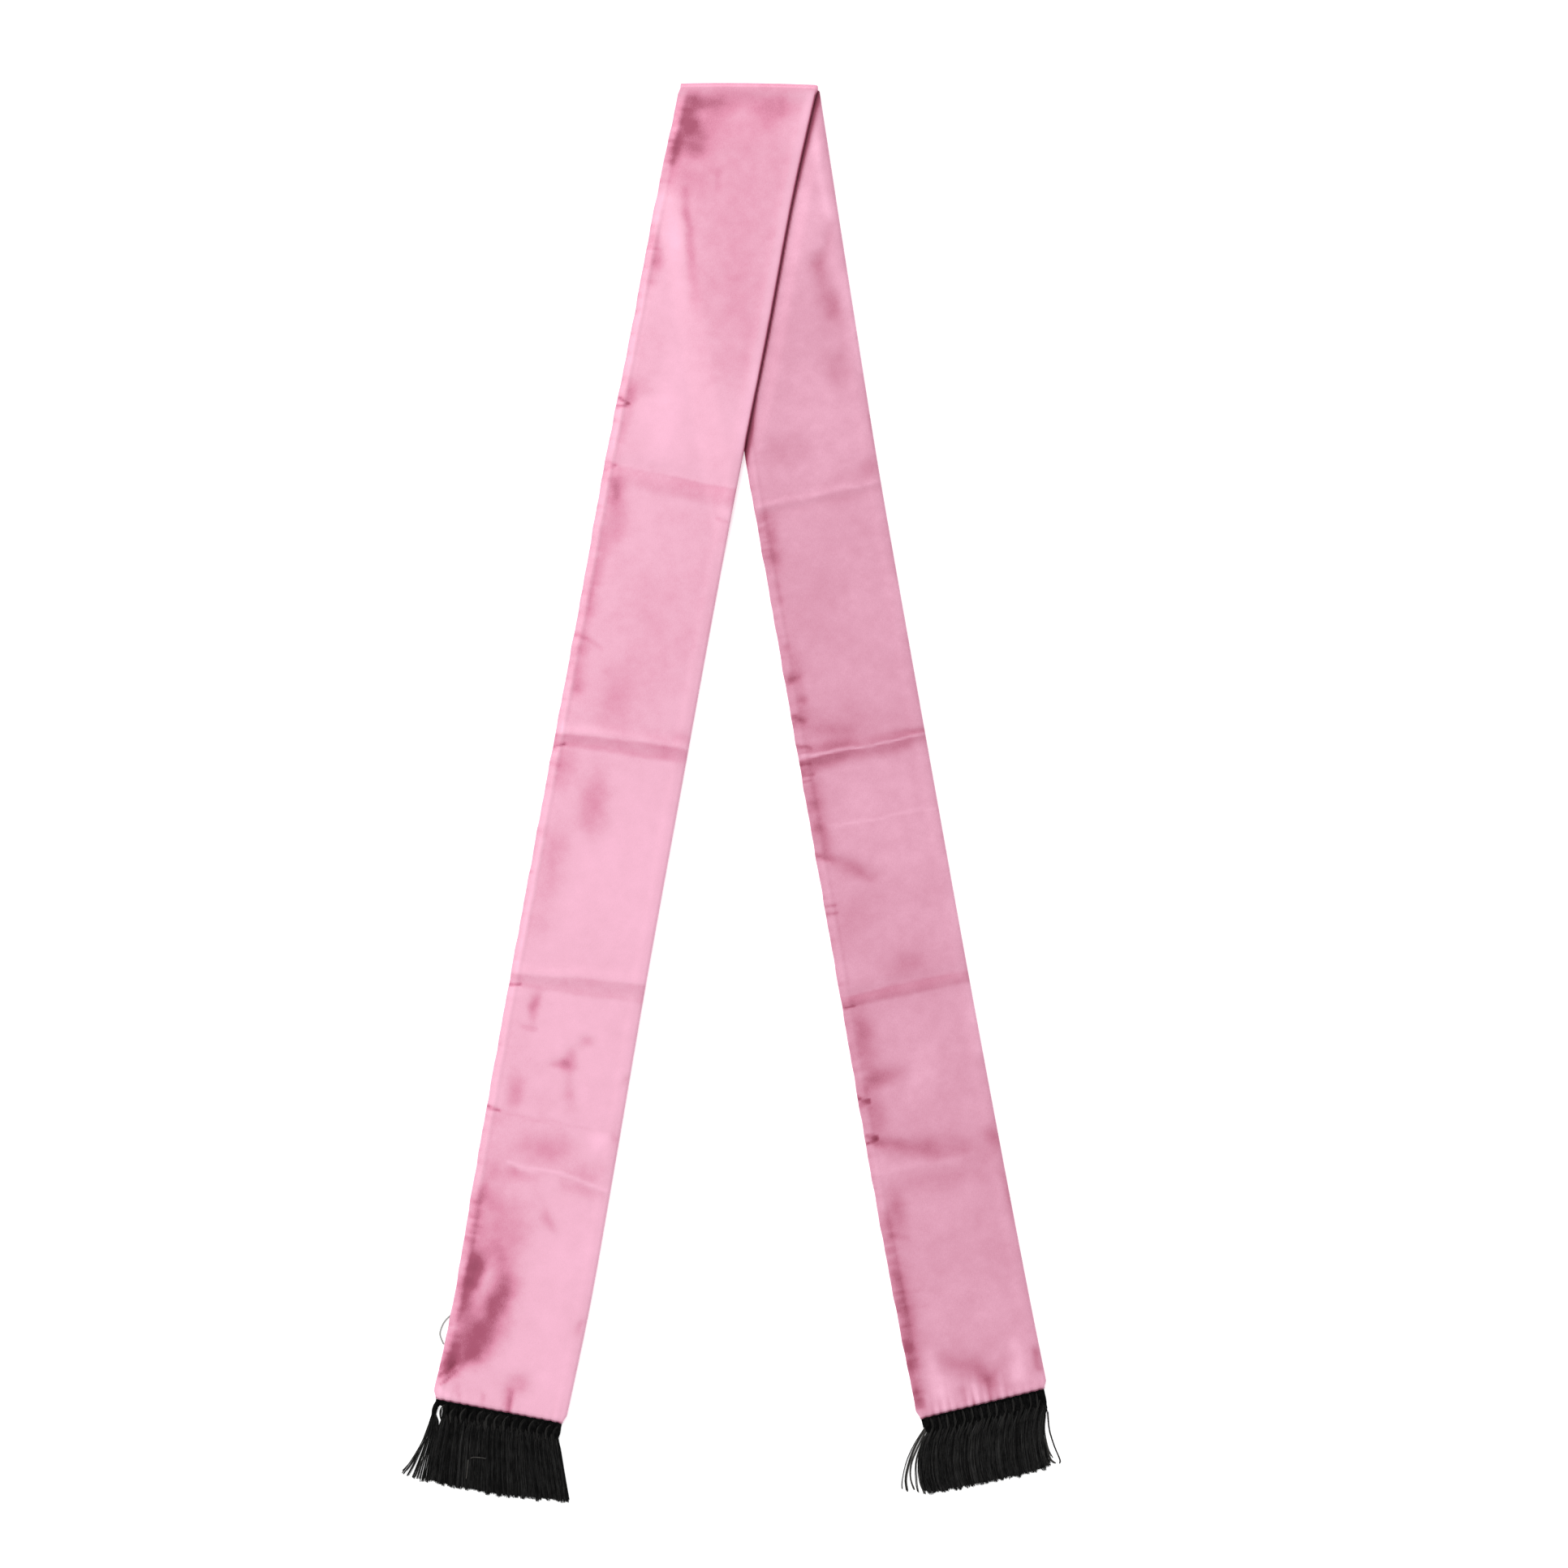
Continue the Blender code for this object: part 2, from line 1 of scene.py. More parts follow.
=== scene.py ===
"""Looks of the folded satin neck scarf: cloth shells, pressed creases, knotted fringes and studio.

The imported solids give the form, and every piece here lies on them. Sizes are in millimetres, and
the meshes are written in metres. Places on a tail are given in its own strip: across from the
middle, towards the folded right edge, and along from the neck fold down to the hem.
"""

import logging
import math
from dataclasses import dataclass
from enum import Enum
from typing import Callable, NamedTuple

import bpy
import numpy as np
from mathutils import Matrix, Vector


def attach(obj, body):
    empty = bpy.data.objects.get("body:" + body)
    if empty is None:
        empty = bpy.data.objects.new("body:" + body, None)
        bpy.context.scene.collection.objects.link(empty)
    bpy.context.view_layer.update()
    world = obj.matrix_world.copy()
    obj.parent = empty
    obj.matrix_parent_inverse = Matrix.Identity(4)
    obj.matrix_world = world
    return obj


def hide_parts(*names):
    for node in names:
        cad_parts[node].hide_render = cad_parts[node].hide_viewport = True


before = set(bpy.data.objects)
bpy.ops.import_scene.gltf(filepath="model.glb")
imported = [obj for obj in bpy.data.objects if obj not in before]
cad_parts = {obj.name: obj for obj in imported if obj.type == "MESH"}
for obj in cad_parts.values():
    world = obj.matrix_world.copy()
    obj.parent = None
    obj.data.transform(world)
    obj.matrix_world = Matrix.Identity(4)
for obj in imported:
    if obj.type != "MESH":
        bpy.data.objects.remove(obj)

LOG = logging.getLogger("scarf")
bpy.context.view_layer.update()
BODY = "root"
MM = 0.001
NOISE_CELLS = 256

Triple = tuple[float, float, float]
Array = np.ndarray
Socket = bpy.types.NodeSocket


class Slot(Enum):
    """The record's material slots."""

    SATIN = "satin"
    THREAD = "fringe_thread"


def blend(start: Array | float, end: Array | float, share: Array | float) -> Array | float:
    """The value that lies a share of the way from start to end."""
    return start + (end - start) * share


def ease(start: float, end: float, value: Array | float) -> Array | float:
    """A soft step from 0 at start to 1 at end."""
    share = np.clip((value - start) / (end - start), 0.0, 1.0)
    return share * share * (3.0 - 2.0 * share)


def bell(off: Array | float, half: float) -> Array:
    """A bell curve of how far off its middle a place is: 1 there, and 1/e at its half width."""
    return np.exp(-((off / half) ** 2))


def table(kind: Callable, *rows: tuple) -> tuple:
    """A table of things of one kind, each made from its plain row of numbers."""
    return tuple(kind(*row) for row in rows)


def point_numbers(mesh: bpy.types.Mesh, name: str, numbers: Array | list[float]) -> None:
    """Keeps a number on each point of a mesh."""
    mesh.attributes.new(name, "FLOAT", "POINT").data.foreach_set("value", numbers)


def add_object(name: str, data: bpy.types.ID) -> bpy.types.Object:
    """Puts a new object into the scene."""
    item = bpy.data.objects.new(name, data)
    bpy.context.scene.collection.objects.link(item)
    return item


def tube_faces(rows: int, columns: int) -> Array:
    """The corners of the faces between rows of rings of points."""
    index = np.arange(rows * columns).reshape(rows, columns)
    after = np.roll(index, -1, axis=1)
    return np.stack([index[:-1], index[1:], after[1:], after[:-1]], axis=-1).reshape(-1, 4)


def soft_noise(across: Array, along: Array, size: float, seed: int) -> Array:
    """Smooth noise over a plane.

    Args:
        across: Places on one axis, in mm.
        along: Places on the other axis, in mm.
        size: How far apart its lumps lie, in mm.
        seed: Sets one noise apart from another.

    Returns:
        The noise at each place, from -1 to 1.
    """
    lattice = np.random.default_rng(seed).uniform(-1.0, 1.0, (NOISE_CELLS, NOISE_CELLS))
    column, row = np.floor(across / size).astype(int), np.floor(along / size).astype(int)
    right, down = ease(0.0, 1.0, across / size - column), ease(0.0, 1.0, along / size - row)

    def corner(right_step: int, down_step: int) -> Array:
        """The lattice's number at one corner of each place's cell."""
        return lattice[(column + right_step) % NOISE_CELLS, (row + down_step) % NOISE_CELLS]

    return blend(blend(corner(0, 0), corner(1, 0), right), blend(corner(0, 1), corner(1, 1), right), down)


def curve_through(places: Array, values: Array, at: Array) -> Array:
    """A smooth curve through values at rising places.

    Args:
        places: Where the values are given, rising.
        values: The value at each place.
        at: Where the curve is read.

    Returns:
        The curve's value at each place asked for.
    """
    run = np.diff(places)
    slopes = np.empty_like(values)
    slopes[0] = (values[1] - values[0]) / run[0]
    slopes[-1] = (values[-1] - values[-2]) / run[-1]
    slopes[1:-1] = (values[2:] - values[:-2]) / (places[2:] - places[:-2])
    span = np.clip(np.searchsorted(places, at, side="left") - 1, 0, len(run) - 1)
    t = np.clip((at - places[span]) / run[span], 0.0, 1.0)
    start_weight = 2 * t**3 - 3 * t**2 + 1
    start_slope = (t**3 - 2 * t**2 + t) * run[span] * slopes[span]
    end_slope = (t**3 - t**2) * run[span] * slopes[span + 1]
    return start_weight * values[span] + (1 - start_weight) * values[span + 1] + start_slope + end_slope


class Value:
    """A number in a shader or a geometry tree, which writes Math nodes for what is done with it."""

    def __init__(self, tree: "Tree", socket: Socket) -> None:
        """Wraps an output socket of a tree."""
        self.tree = tree
        self.socket = socket

    def math(self, operation: str, first: object, second: object = 0.0, clamp: bool = False) -> "Value":
        """Adds one Math node for two values or numbers, with its result kept from 0 to 1 if asked."""
        settings = {"operation": operation, "use_clamp": clamp}
        return self.tree.value("ShaderNodeMath", "Value", settings, {"Value": first, "Value_001": second})

    def __add__(self, other: object) -> "Value":
        """The sum."""
        return self.math("ADD", self, other)

    def __sub__(self, other: object) -> "Value":
        """The difference."""
        return self.math("SUBTRACT", self, other)

    def __rsub__(self, other: object) -> "Value":
        """The difference, with the other first."""
        return self.math("SUBTRACT", other, self)

    def __mul__(self, other: object) -> "Value":
        """The product."""
        return self.math("MULTIPLY", self, other)

    def sine(self) -> "Value":
        """The sine of the value, in radians."""
        return self.math("SINE", self)

    def clamped(self) -> "Value":
        """The value kept from 0 to 1."""
        return self.math("ADD", self, 0.0, clamp=True)


class Tree:
    """Writes nodes into one shader or geometry tree."""

    def __init__(self, tree: bpy.types.NodeTree) -> None:
        """Starts on an empty or a default tree."""
        self.tree = tree

    def feed(self, socket: Socket, given: object) -> None:
        """Links an input socket to a Value or to another socket, or else sets it."""
        source = given.socket if isinstance(given, Value) else given
        if isinstance(source, Socket):
            self.tree.links.new(source, socket)
        else:
            socket.default_value = source

    def node(self, kind: str, settings: dict | None = None, inputs: dict | None = None) -> bpy.types.Node:
        """Adds one node.

        Args:
            kind: The node's type.
            settings: The node's own properties, set before its sockets.
            inputs: A value, a Value or a socket for each input socket's identifier.

        Returns:
            The new node.
        """
        node = self.tree.nodes.new(kind)
        for name, setting in (settings or {}).items():
            setattr(node, name, setting)
        for identifier, given in (inputs or {}).items():
            self.feed(next(s for s in node.inputs if s.identifier == identifier), given)
        return node

    def out(
        self, kind: str, output: str, settings: dict | None = None, inputs: dict | None = None
    ) -> Socket:
        """Adds one node and gives one of its output sockets, by identifier."""
        node = self.node(kind, settings, inputs)
        return next(s for s in node.outputs if s.identifier == output)

    def value(
        self, kind: str, output: str, settings: dict | None = None, inputs: dict | None = None
    ) -> Value:
        """Adds one node and gives one of its outputs as a number."""
        return Value(self, self.out(kind, output, settings, inputs))


class Shader(Tree):
    """The node tree of one new material."""

    def __init__(self, name: str) -> None:
        """Makes the material with its Principled shader."""
        self.material = bpy.data.materials.new(name)
        self.material.use_nodes = True
        super().__init__(self.material.node_tree)

    def attribute(self, name: str) -> Value:
        """A number kept on the mesh's points."""
        return self.value("ShaderNodeAttribute", "Fac", {"attribute_name": name})

    def place(self) -> Socket:
        """Object coordinates, in metres."""
        return self.out("ShaderNodeTexCoord", "Object")

    def strip_place(self, stretch: Triple) -> Socket:
        """Places along and across a strip from its UV map, scaled on each axis."""
        uv = self.out("ShaderNodeUVMap", "UV", {"uv_map": "strip"})
        return self.out("ShaderNodeMapping", "Vector", None, {"Vector": uv, "Scale": stretch})

    def noise(self, place: Socket, scale: float = 1.0, detail: float = 2.0) -> Value:
        """Soft noise around 0, from about -0.5 to 0.5."""
        inputs = {"Vector": place, "Scale": scale, "Detail": detail}
        return self.value("ShaderNodeTexNoise", "Fac", None, inputs) - 0.5

    def mix(self, first: object, second: Triple, share: Value) -> Socket:
        """A colour that lies a share of the way from the first, a socket or a colour, to the second."""
        start = (*first, 1.0) if isinstance(first, tuple) else first
        inputs = {"Factor_Float": share, "A_Color": start, "B_Color": (*second, 1.0)}
        return self.out("ShaderNodeMix", "Result_Color", {"data_type": "RGBA", "clamp_factor": True}, inputs)

    def bump(self, height: Value, distance: float, strength: float, under: Socket | None = None) -> Socket:
        """A bump of a height in the surface's normal, over another bump where one is given."""
        inputs = {"Height": height, "Distance": distance, "Strength": strength}
        if under is not None:
            inputs["Normal"] = under
        return self.out("ShaderNodeBump", "Normal", None, inputs)

    def finish(self, sockets: dict) -> bpy.types.Material:
        """Sets the Principled shader's sockets by name, and gives the material."""
        principled = self.tree.nodes["Principled BSDF"]
        for name, given in sockets.items():
            self.feed(principled.inputs[name], given)
        return self.material


@dataclass(frozen=True)
class SatinFinish:
    """Warp-faced satin whose colour carries painted shade and highlights from how the cloth lies: from a
    painted highlight through its body colour to painted shade and a painted shadow in crevices.
    """

    name: str
    painted_highlight: Triple
    body: Triple
    mid_painted_shade: Triple
    deep_painted_shade: Triple
    painted_crevice_shadow: Triple = (0.150, 0.009, 0.032)
    painted_crevice_from: float = 1.1
    roughness: float = 0.42
    roughness_varies: float = 0.06
    metallic: float = 0.15
    cloud: float = 0.32
    cloud_scale: float = 30.0
    mottle: float = 0.44
    mottle_scale: float = 130.0
    grain: float = 0.36
    crumple_scale: float = 75.0
    streak_stretch: Triple = (2600.0, 420.0, 1.0)
    weave_stretch: Triple = (1700.0, 1500.0, 1.0)

    def material(self) -> bpy.types.Material:
        """The material: painted shade and highlights from the folds, soft clouds, warp streaks and a fine
        weave bump.
        """
        shader = Shader(self.name)
        place = shader.place()
        streak = shader.noise(shader.strip_place(self.streak_stretch))
        weave = shader.noise(shader.strip_place(self.weave_stretch), detail=1.0)
        crumple = shader.noise(place, self.crumple_scale, 3.0)
        # The folds' painted shade and highlights, kept on the mesh's points
        fold = shader.attribute("tone")
        tone = (
            fold
            + shader.noise(place, self.cloud_scale) * self.cloud
            + shader.noise(place, self.mottle_scale, 4.0) * self.mottle * (fold.clamped() * 0.2 + 0.8)
            + (streak + weave) * self.grain
        )
        # The body colour, darkened into painted shade and a painted crevice shadow, or lightened into a
        # painted highlight
        colour = self.body
        for shade, share in (
            (self.mid_painted_shade, tone * 2.0),
            (self.deep_painted_shade, tone * 2.0 - 1.0),
            (self.painted_crevice_shadow, tone - self.painted_crevice_from),
            (self.painted_highlight, tone * -2.0),
        ):
            colour = shader.mix(colour, shade, share.clamped())
        fine = shader.bump(streak * 0.6 + weave, 0.00006, 0.35)
        rough = tone * self.roughness_varies + self.roughness + streak * self.roughness_varies
        return shader.finish({
            "Base Color": colour,
            "Roughness": rough.clamped(),
            "Normal": shader.bump(crumple, 0.0005, 0.3, fine),
            "Metallic": self.metallic,
            "Specular IOR Level": 0.3,
            "Sheen Weight": 0.08,
            "Sheen Roughness": 0.35,
            "Sheen Tint": (1.0, 0.6, 0.75, 1.0),
        })


@dataclass(frozen=True)
class ThreadFinish:
    """Spun thread in fine strands, each a little paler or darker than its neighbours."""

    name: str
    dark: Triple
    # The pale colour serves for paler strands and for painted highlights
    pale: Triple
    roughness: float = 0.5
    gloss: float = 0.12
    glint: float = 0.9
    glints: float = 6.0
    glint_strands: float = 60.0
    fleck_scale: float = 700.0
    patch_scale: float = 90.0

    def material(self) -> bpy.types.Material:
        """The material: a shade from dark to pale for each strand, which on the knots' arcs is a painted
        highlight, and painted glints and flecks along it.
        """
        shader = Shader(self.name)
        place = shader.place()
        fleck = shader.noise(place, self.fleck_scale)
        patch = shader.noise(place, self.patch_scale)
        tint_and_highlight = shader.attribute("tint_and_highlight")
        run = {"X": shader.attribute("run") * self.glints, "Y": tint_and_highlight * self.glint_strands}
        # Painted glints along each strand
        glint = shader.noise(shader.out("ShaderNodeCombineXYZ", "Vector", None, run))
        share = tint_and_highlight + glint * self.glint + fleck * 0.35 + patch * 0.3
        return shader.finish({
            "Base Color": shader.mix(self.dark, self.pale, share.clamped()),
            "Roughness": (fleck * 0.15 + self.roughness).clamped(),
            "Normal": shader.bump(fleck, 0.0001, 0.4),
            "Specular IOR Level": self.gloss,
        })


# Lit and shaded copies of the one satin: the back tail's colours are painted darker, as shade, than the
# front tail's
LIT_FRONT_SATIN = SatinFinish(
    "front_satin_lit_copy",
    painted_highlight=(0.915, 0.485, 0.640),
    body=(0.785, 0.405, 0.530),
    mid_painted_shade=(0.650, 0.237, 0.355),
    deep_painted_shade=(0.365, 0.080, 0.145),
)
SHADED_BACK_SATIN = SatinFinish(
    "back_satin_shaded_copy",
    painted_highlight=(0.850, 0.450, 0.590),
    body=(0.660, 0.305, 0.418),
    mid_painted_shade=(0.520, 0.180, 0.270),
    deep_painted_shade=(0.330, 0.070, 0.125),
)
BLACK_THREAD = ThreadFinish(
    "black_fringe_thread", (0.0016, 0.0016, 0.0016), (0.046, 0.045, 0.044), glint=1.7
)
# Its pale colour is the painted highlight on the strands round the knots
KNOT_THREAD = ThreadFinish(
    "black_knot_thread", (0.0012, 0.0012, 0.0013), (0.036, 0.0345, 0.033),
    roughness=0.75, gloss=0.05, glint=0.25,
)
GREY_THREAD = ThreadFinish("grey_sewing_thread", (0.28, 0.28, 0.27), (0.48, 0.48, 0.46))
STRAY_THREAD = ThreadFinish("stray_fringe_thread", (0.004, 0.004, 0.004), (0.085, 0.080, 0.074))


class EdgeRow(NamedTuple):
    """One level of a stretch's outline, in mm."""

    down: float
    left_x: float
    right_x: float


class Spot(NamedTuple):
    """One place on a streak, in mm in the strip, with the streak's half width and strength there."""

    across: float
    along: float
    half_width: float
    strength: float = 1.0


class Streak(NamedTuple):
    """A soft trough in the cloth with painted shade, or a ridge with a painted highlight where the strength
    of its painted shade is under zero, through its spots.
    """

    tone: float
    spots: tuple[Spot, ...]


class Patch(NamedTuple):
    """A soft oval of painted shade, or of painted highlight where its strength is under zero, with a dip to
    match, in mm in the strip, turned by so many degrees.
    """

    tone: float
    across: float
    along: float
    half_across: float
    half_along: float
    turn: float = 0.0


class BandSpot(NamedTuple):
    """Where a pressed crease's band starts and ends at one place across the strip."""

    across: float
    top: float
    bottom: float
    strength: float = 1.0


class Band(NamedTuple):
    """A pressed storage crease: a ridge, or a groove where that is under zero, and a band of painted shade.
    """

    tone: float
    ridge: float
    soft_top: float
    soft_bottom: float
    spots: tuple[BandSpot, ...]


def streak(tone: float, *spots: tuple) -> Streak:
    """A streak from the strength of its painted shade and its spots."""
    return Streak(tone, tuple(Spot(*spot) for spot in spots))


def seam_run(
    tone: float, start: float, end: float, across: float = -38.0, half_width: float = 3.0
) -> Streak:
    """A streak of painted shade that runs along the seam."""
    return streak(tone, (across, start + half_width, half_width), (across, end - half_width, half_width))


def pucker(tone: float, along: float, end_along: float, end_across: float = -36.5) -> Streak:
    """A sharp little fold that the seam draws in from the left edge, with painted shade in it."""
    return streak(tone, (-42.5, along, 1.2), (end_across, end_along, 0.9, 0.7))


def band(tone: float, ridge: float, softness: tuple[float, float], *spots: tuple) -> Band:
    """A pressed crease from the strength of its painted shade, its ridge's height, the softness of its
    edges, and its spots.
    """
    return Band(tone, ridge, *softness, tuple(BandSpot(*spot) for spot in spots))


class Sweep(NamedTuple):
    """How the threads at one place along a fringe hang, in mm but for the share."""

    along: float
    drift_half: float
    drift_end: float
    length: float


# The front tail's folds, from the neck down: painted shade and highlights, with the dips and rises that go
# with them
FRONT_STREAKS = table(
    streak,
    (-0.10, (-38, 11, 3.0), (0, 4, 3.2), (39, -3, 3.0)), (0.18, (-7, 58, 2.4), (-6.5, 68, 2.4)),
    (0.50, (-26, 72, 2.4, 0.4), (-21, 93, 3.2, 0.9), (-15, 111, 3.4, 0.8), (-8, 137, 3.8, 0.3)),
    (-0.28, (-34, 80, 4.0, 0.6), (-28, 104, 4.8), (-21, 128, 4.6, 0.6), (-14, 160, 7.0, 0.3)),
    (-0.22, (-40, 78, 2.6), (-40, 92, 2.6)), (0.26, (-39, 104, 4.0), (-35, 116, 4.5)),
    (0.20, (-37, 130, 4.2)), (-0.18, (-12, 178, 10.0), (-12, 228, 10.0)), (-0.16, (35, 262, 3.6)),
    (0.25, (30, 267, 1.4), (36, 267.6, 1.4)),
    (0.50, (-42.5, 353, 1.3), (-34, 354, 1.6, 0.8), (-26, 357.5, 1.8, 0.35)), (0.14, (-36, 388, 4.4)),
    (-0.22, (-39.5, 409, 2.4), (-39.5, 417, 2.4)), (0.60, (-42, 423.6, 1.2), (-36.5, 422.2, 1.0)),
    (-0.22, (-40, 482, 2.0), (-40, 558, 2.0)), (0.75, (-42, 573.2, 1.2), (-36, 571.4, 1.0)),
    (0.24, (-31, 597, 1.6), (-21, 597, 1.6)), (0.30, (38, 617, 2.6)), (0.28, (38.5, 655, 2.4)),
    (0.14, (-34, 651, 1.3), (0, 650.5, 1.3), (36, 652, 1.3)),
    (-0.30, (-23, 681, 1.2), (6, 681, 1.2), (39, 685, 1.2)), (0.20, (14, 688.5, 3.4), (35, 689, 3.4)),
    (0.20, (-18.5, 685, 3.6)), (-0.16, (-22.5, 750, 2.8), (-23.5, 762, 1.8)),
    (0.50, (-41, 818, 1.2), (-33, 808, 1.2)), (0.50, (-40, 824, 1.0), (-32, 814, 1.2, 0.6)),
    (-0.22, (-31, 811, 3.0)), (0.34, (38.5, 770, 2.6), (36, 777, 3.6, 0.7)),
    (0.70, (5.0, 820, 2.4, 0.5), (4.5, 831, 2.4)), (0.30, (-12, 824, 1.6), (-13, 830, 1.6)),
    (0.26, (-29, 822, 1.6), (-28, 829, 1.6)), (-0.30, (-38, 828, 2.0), (-34, 830, 2.0)),
) + table(
    seam_run,
    (0.20, 284, 342, -36.5, 5.0), (0.24, 356, 393, -36.5, 5.0), (0.24, 694, 745, -35.5, 3.5),
) + table(
    pucker,
    (0.80, 205.4, 208.2), (0.70, 210.2, 208.4), (0.30, 244.0, 246.6), (0.30, 249.2, 246.8),
    (0.95, 650.0, 650.8, -35.5),
)

FRONT_BANDS = (
    band(
        0.27, -0.25, (1.2, 4.0),
        (-42, 246, 257, 0.7), (0, 246, 258, 0.85), (6, 246.3, 258), (40, 247, 259),
    ),
    band(
        0.34, 0.38, (1.2, 2.0),
        (-42, 415, 422.5, 1.2), (-24, 413.2, 421.8, 1.1), (-12, 412.3, 420.9, 1.0), (0, 411.5, 420.3, 0.86),
        (12, 411.2, 420, 0.95), (26, 410.4, 419.5, 1.0), (39, 411, 418.5, 0.75),
    ),
    band(
        0.27, 0.35, (1.2, 1.8),
        (-41, 565.5, 573), (-20, 563, 572.5, 0.9), (0, 560.6, 571.8, 0.9), (20, 558.9, 570.4, 1.1),
        (39, 557.6, 569.4, 1.1),
    ),
)

FRONT_PATCHES = table(
    Patch,
    (0.88, -32.5, 31, 7.5, 17), (0.92, -36.5, 51, 4, 9), (0.36, -24, 44, 8, 9, -30),
    (0.48, -20, 15, 15, 7, -8), (0.18, -20, 30, 9, 16), (0.16, -6, 6, 40, 6), (0.16, -16, 30, 22, 26),
    (0.36, 19, 13, 12, 8, -8), (0.16, 14, 24, 10, 9), (0.30, -28, 66, 16, 14), (0.22, -37, 63, 4, 8),
    (0.24, 14, 62, 34, 72), (0.20, 18, 150, 26, 40), (-0.08, -25, 112, 9, 38, -12),
    (0.30, -36.5, 119, 4.5, 10), (-0.20, 37, 177, 5, 10), (0.22, -28, 198, 6, 6),
    (0.54, -37, 203, 5, 10), (0.26, -36, 222, 3, 14), (-0.12, 0, 215, 40, 26), (0.64, -34, 262, 4.6, 8),
    (0.42, -31, 280, 6, 14), (0.10, 12, 330, 34, 60), (0.20, -37, 340, 4.4, 60),
    (0.24, -9, 380, 13, 20), (0.08, -16, 398, 6, 9), (0.12, -13, 405, 12, 6), (0.12, 21, 403, 15, 8),
    (0.26, 35, 405, 5, 4), (0.10, -22, 427, 14, 7), (0.42, -34, 436, 7, 11), (0.42, -13, 452, 8.5, 18),
    (0.22, -9, 466, 9, 12), (0.28, -31, 484, 11, 13), (0.28, -30, 506, 12, 14),
    (-0.20, 12, 500, 44, 66), (0.18, -30, 530, 8, 12), (0.68, -25, 583, 3.6, 9),
    (0.48, 10, 599, 6, 3.8, -25), (0.46, 3, 610, 5, 7), (0.66, -1, 615.5, 7, 3.2),
    (0.30, 5, 630, 4.6, 13, -12), (-0.16, 16, 610, 34, 46), (0.40, -27, 636, 5.5, 12),
    (-0.44, 28, 659, 7, 8), (0.44, 0, 668, 20, 10, -8), (0.26, 24, 680, 12, 5, -12),
    (0.14, -34, 655, 6, 6), (0.26, -30, 690, 8, 10), (0.32, -15, 687, 9, 5), (0.34, -27, 705, 7, 7),
    (0.38, 8, 712, 4, 9, -35), (0.50, -18, 727, 16, 22), (0.16, -26, 738, 14, 12),
    (0.26, -36, 714, 5, 18), (-0.22, 18, 735, 26, 44), (1.36, -32.5, 752.5, 6.4, 11, 4),
    (0.60, -34.5, 771, 5, 12), (0.24, -20, 767, 5, 6), (0.36, -11.5, 752, 6.5, 9),
    (0.48, -12.5, 763, 9, 14, 12), (0.62, -15.5, 777, 11, 16, 18), (0.62, -20, 792, 10, 13, 20),
    (0.42, -30, 786, 8, 17), (0.52, -24.5, 803, 6, 8, 28), (0.48, -29, 811, 3, 7, 28),
    (-0.20, 18, 805, 28, 30), (1.56, -36.5, 807, 5.4, 11.5, 12), (0.50, 9, 813, 8, 8),
    (0.40, 4, 824, 5, 6), (0.10, 37, 770, 5, 9),
)

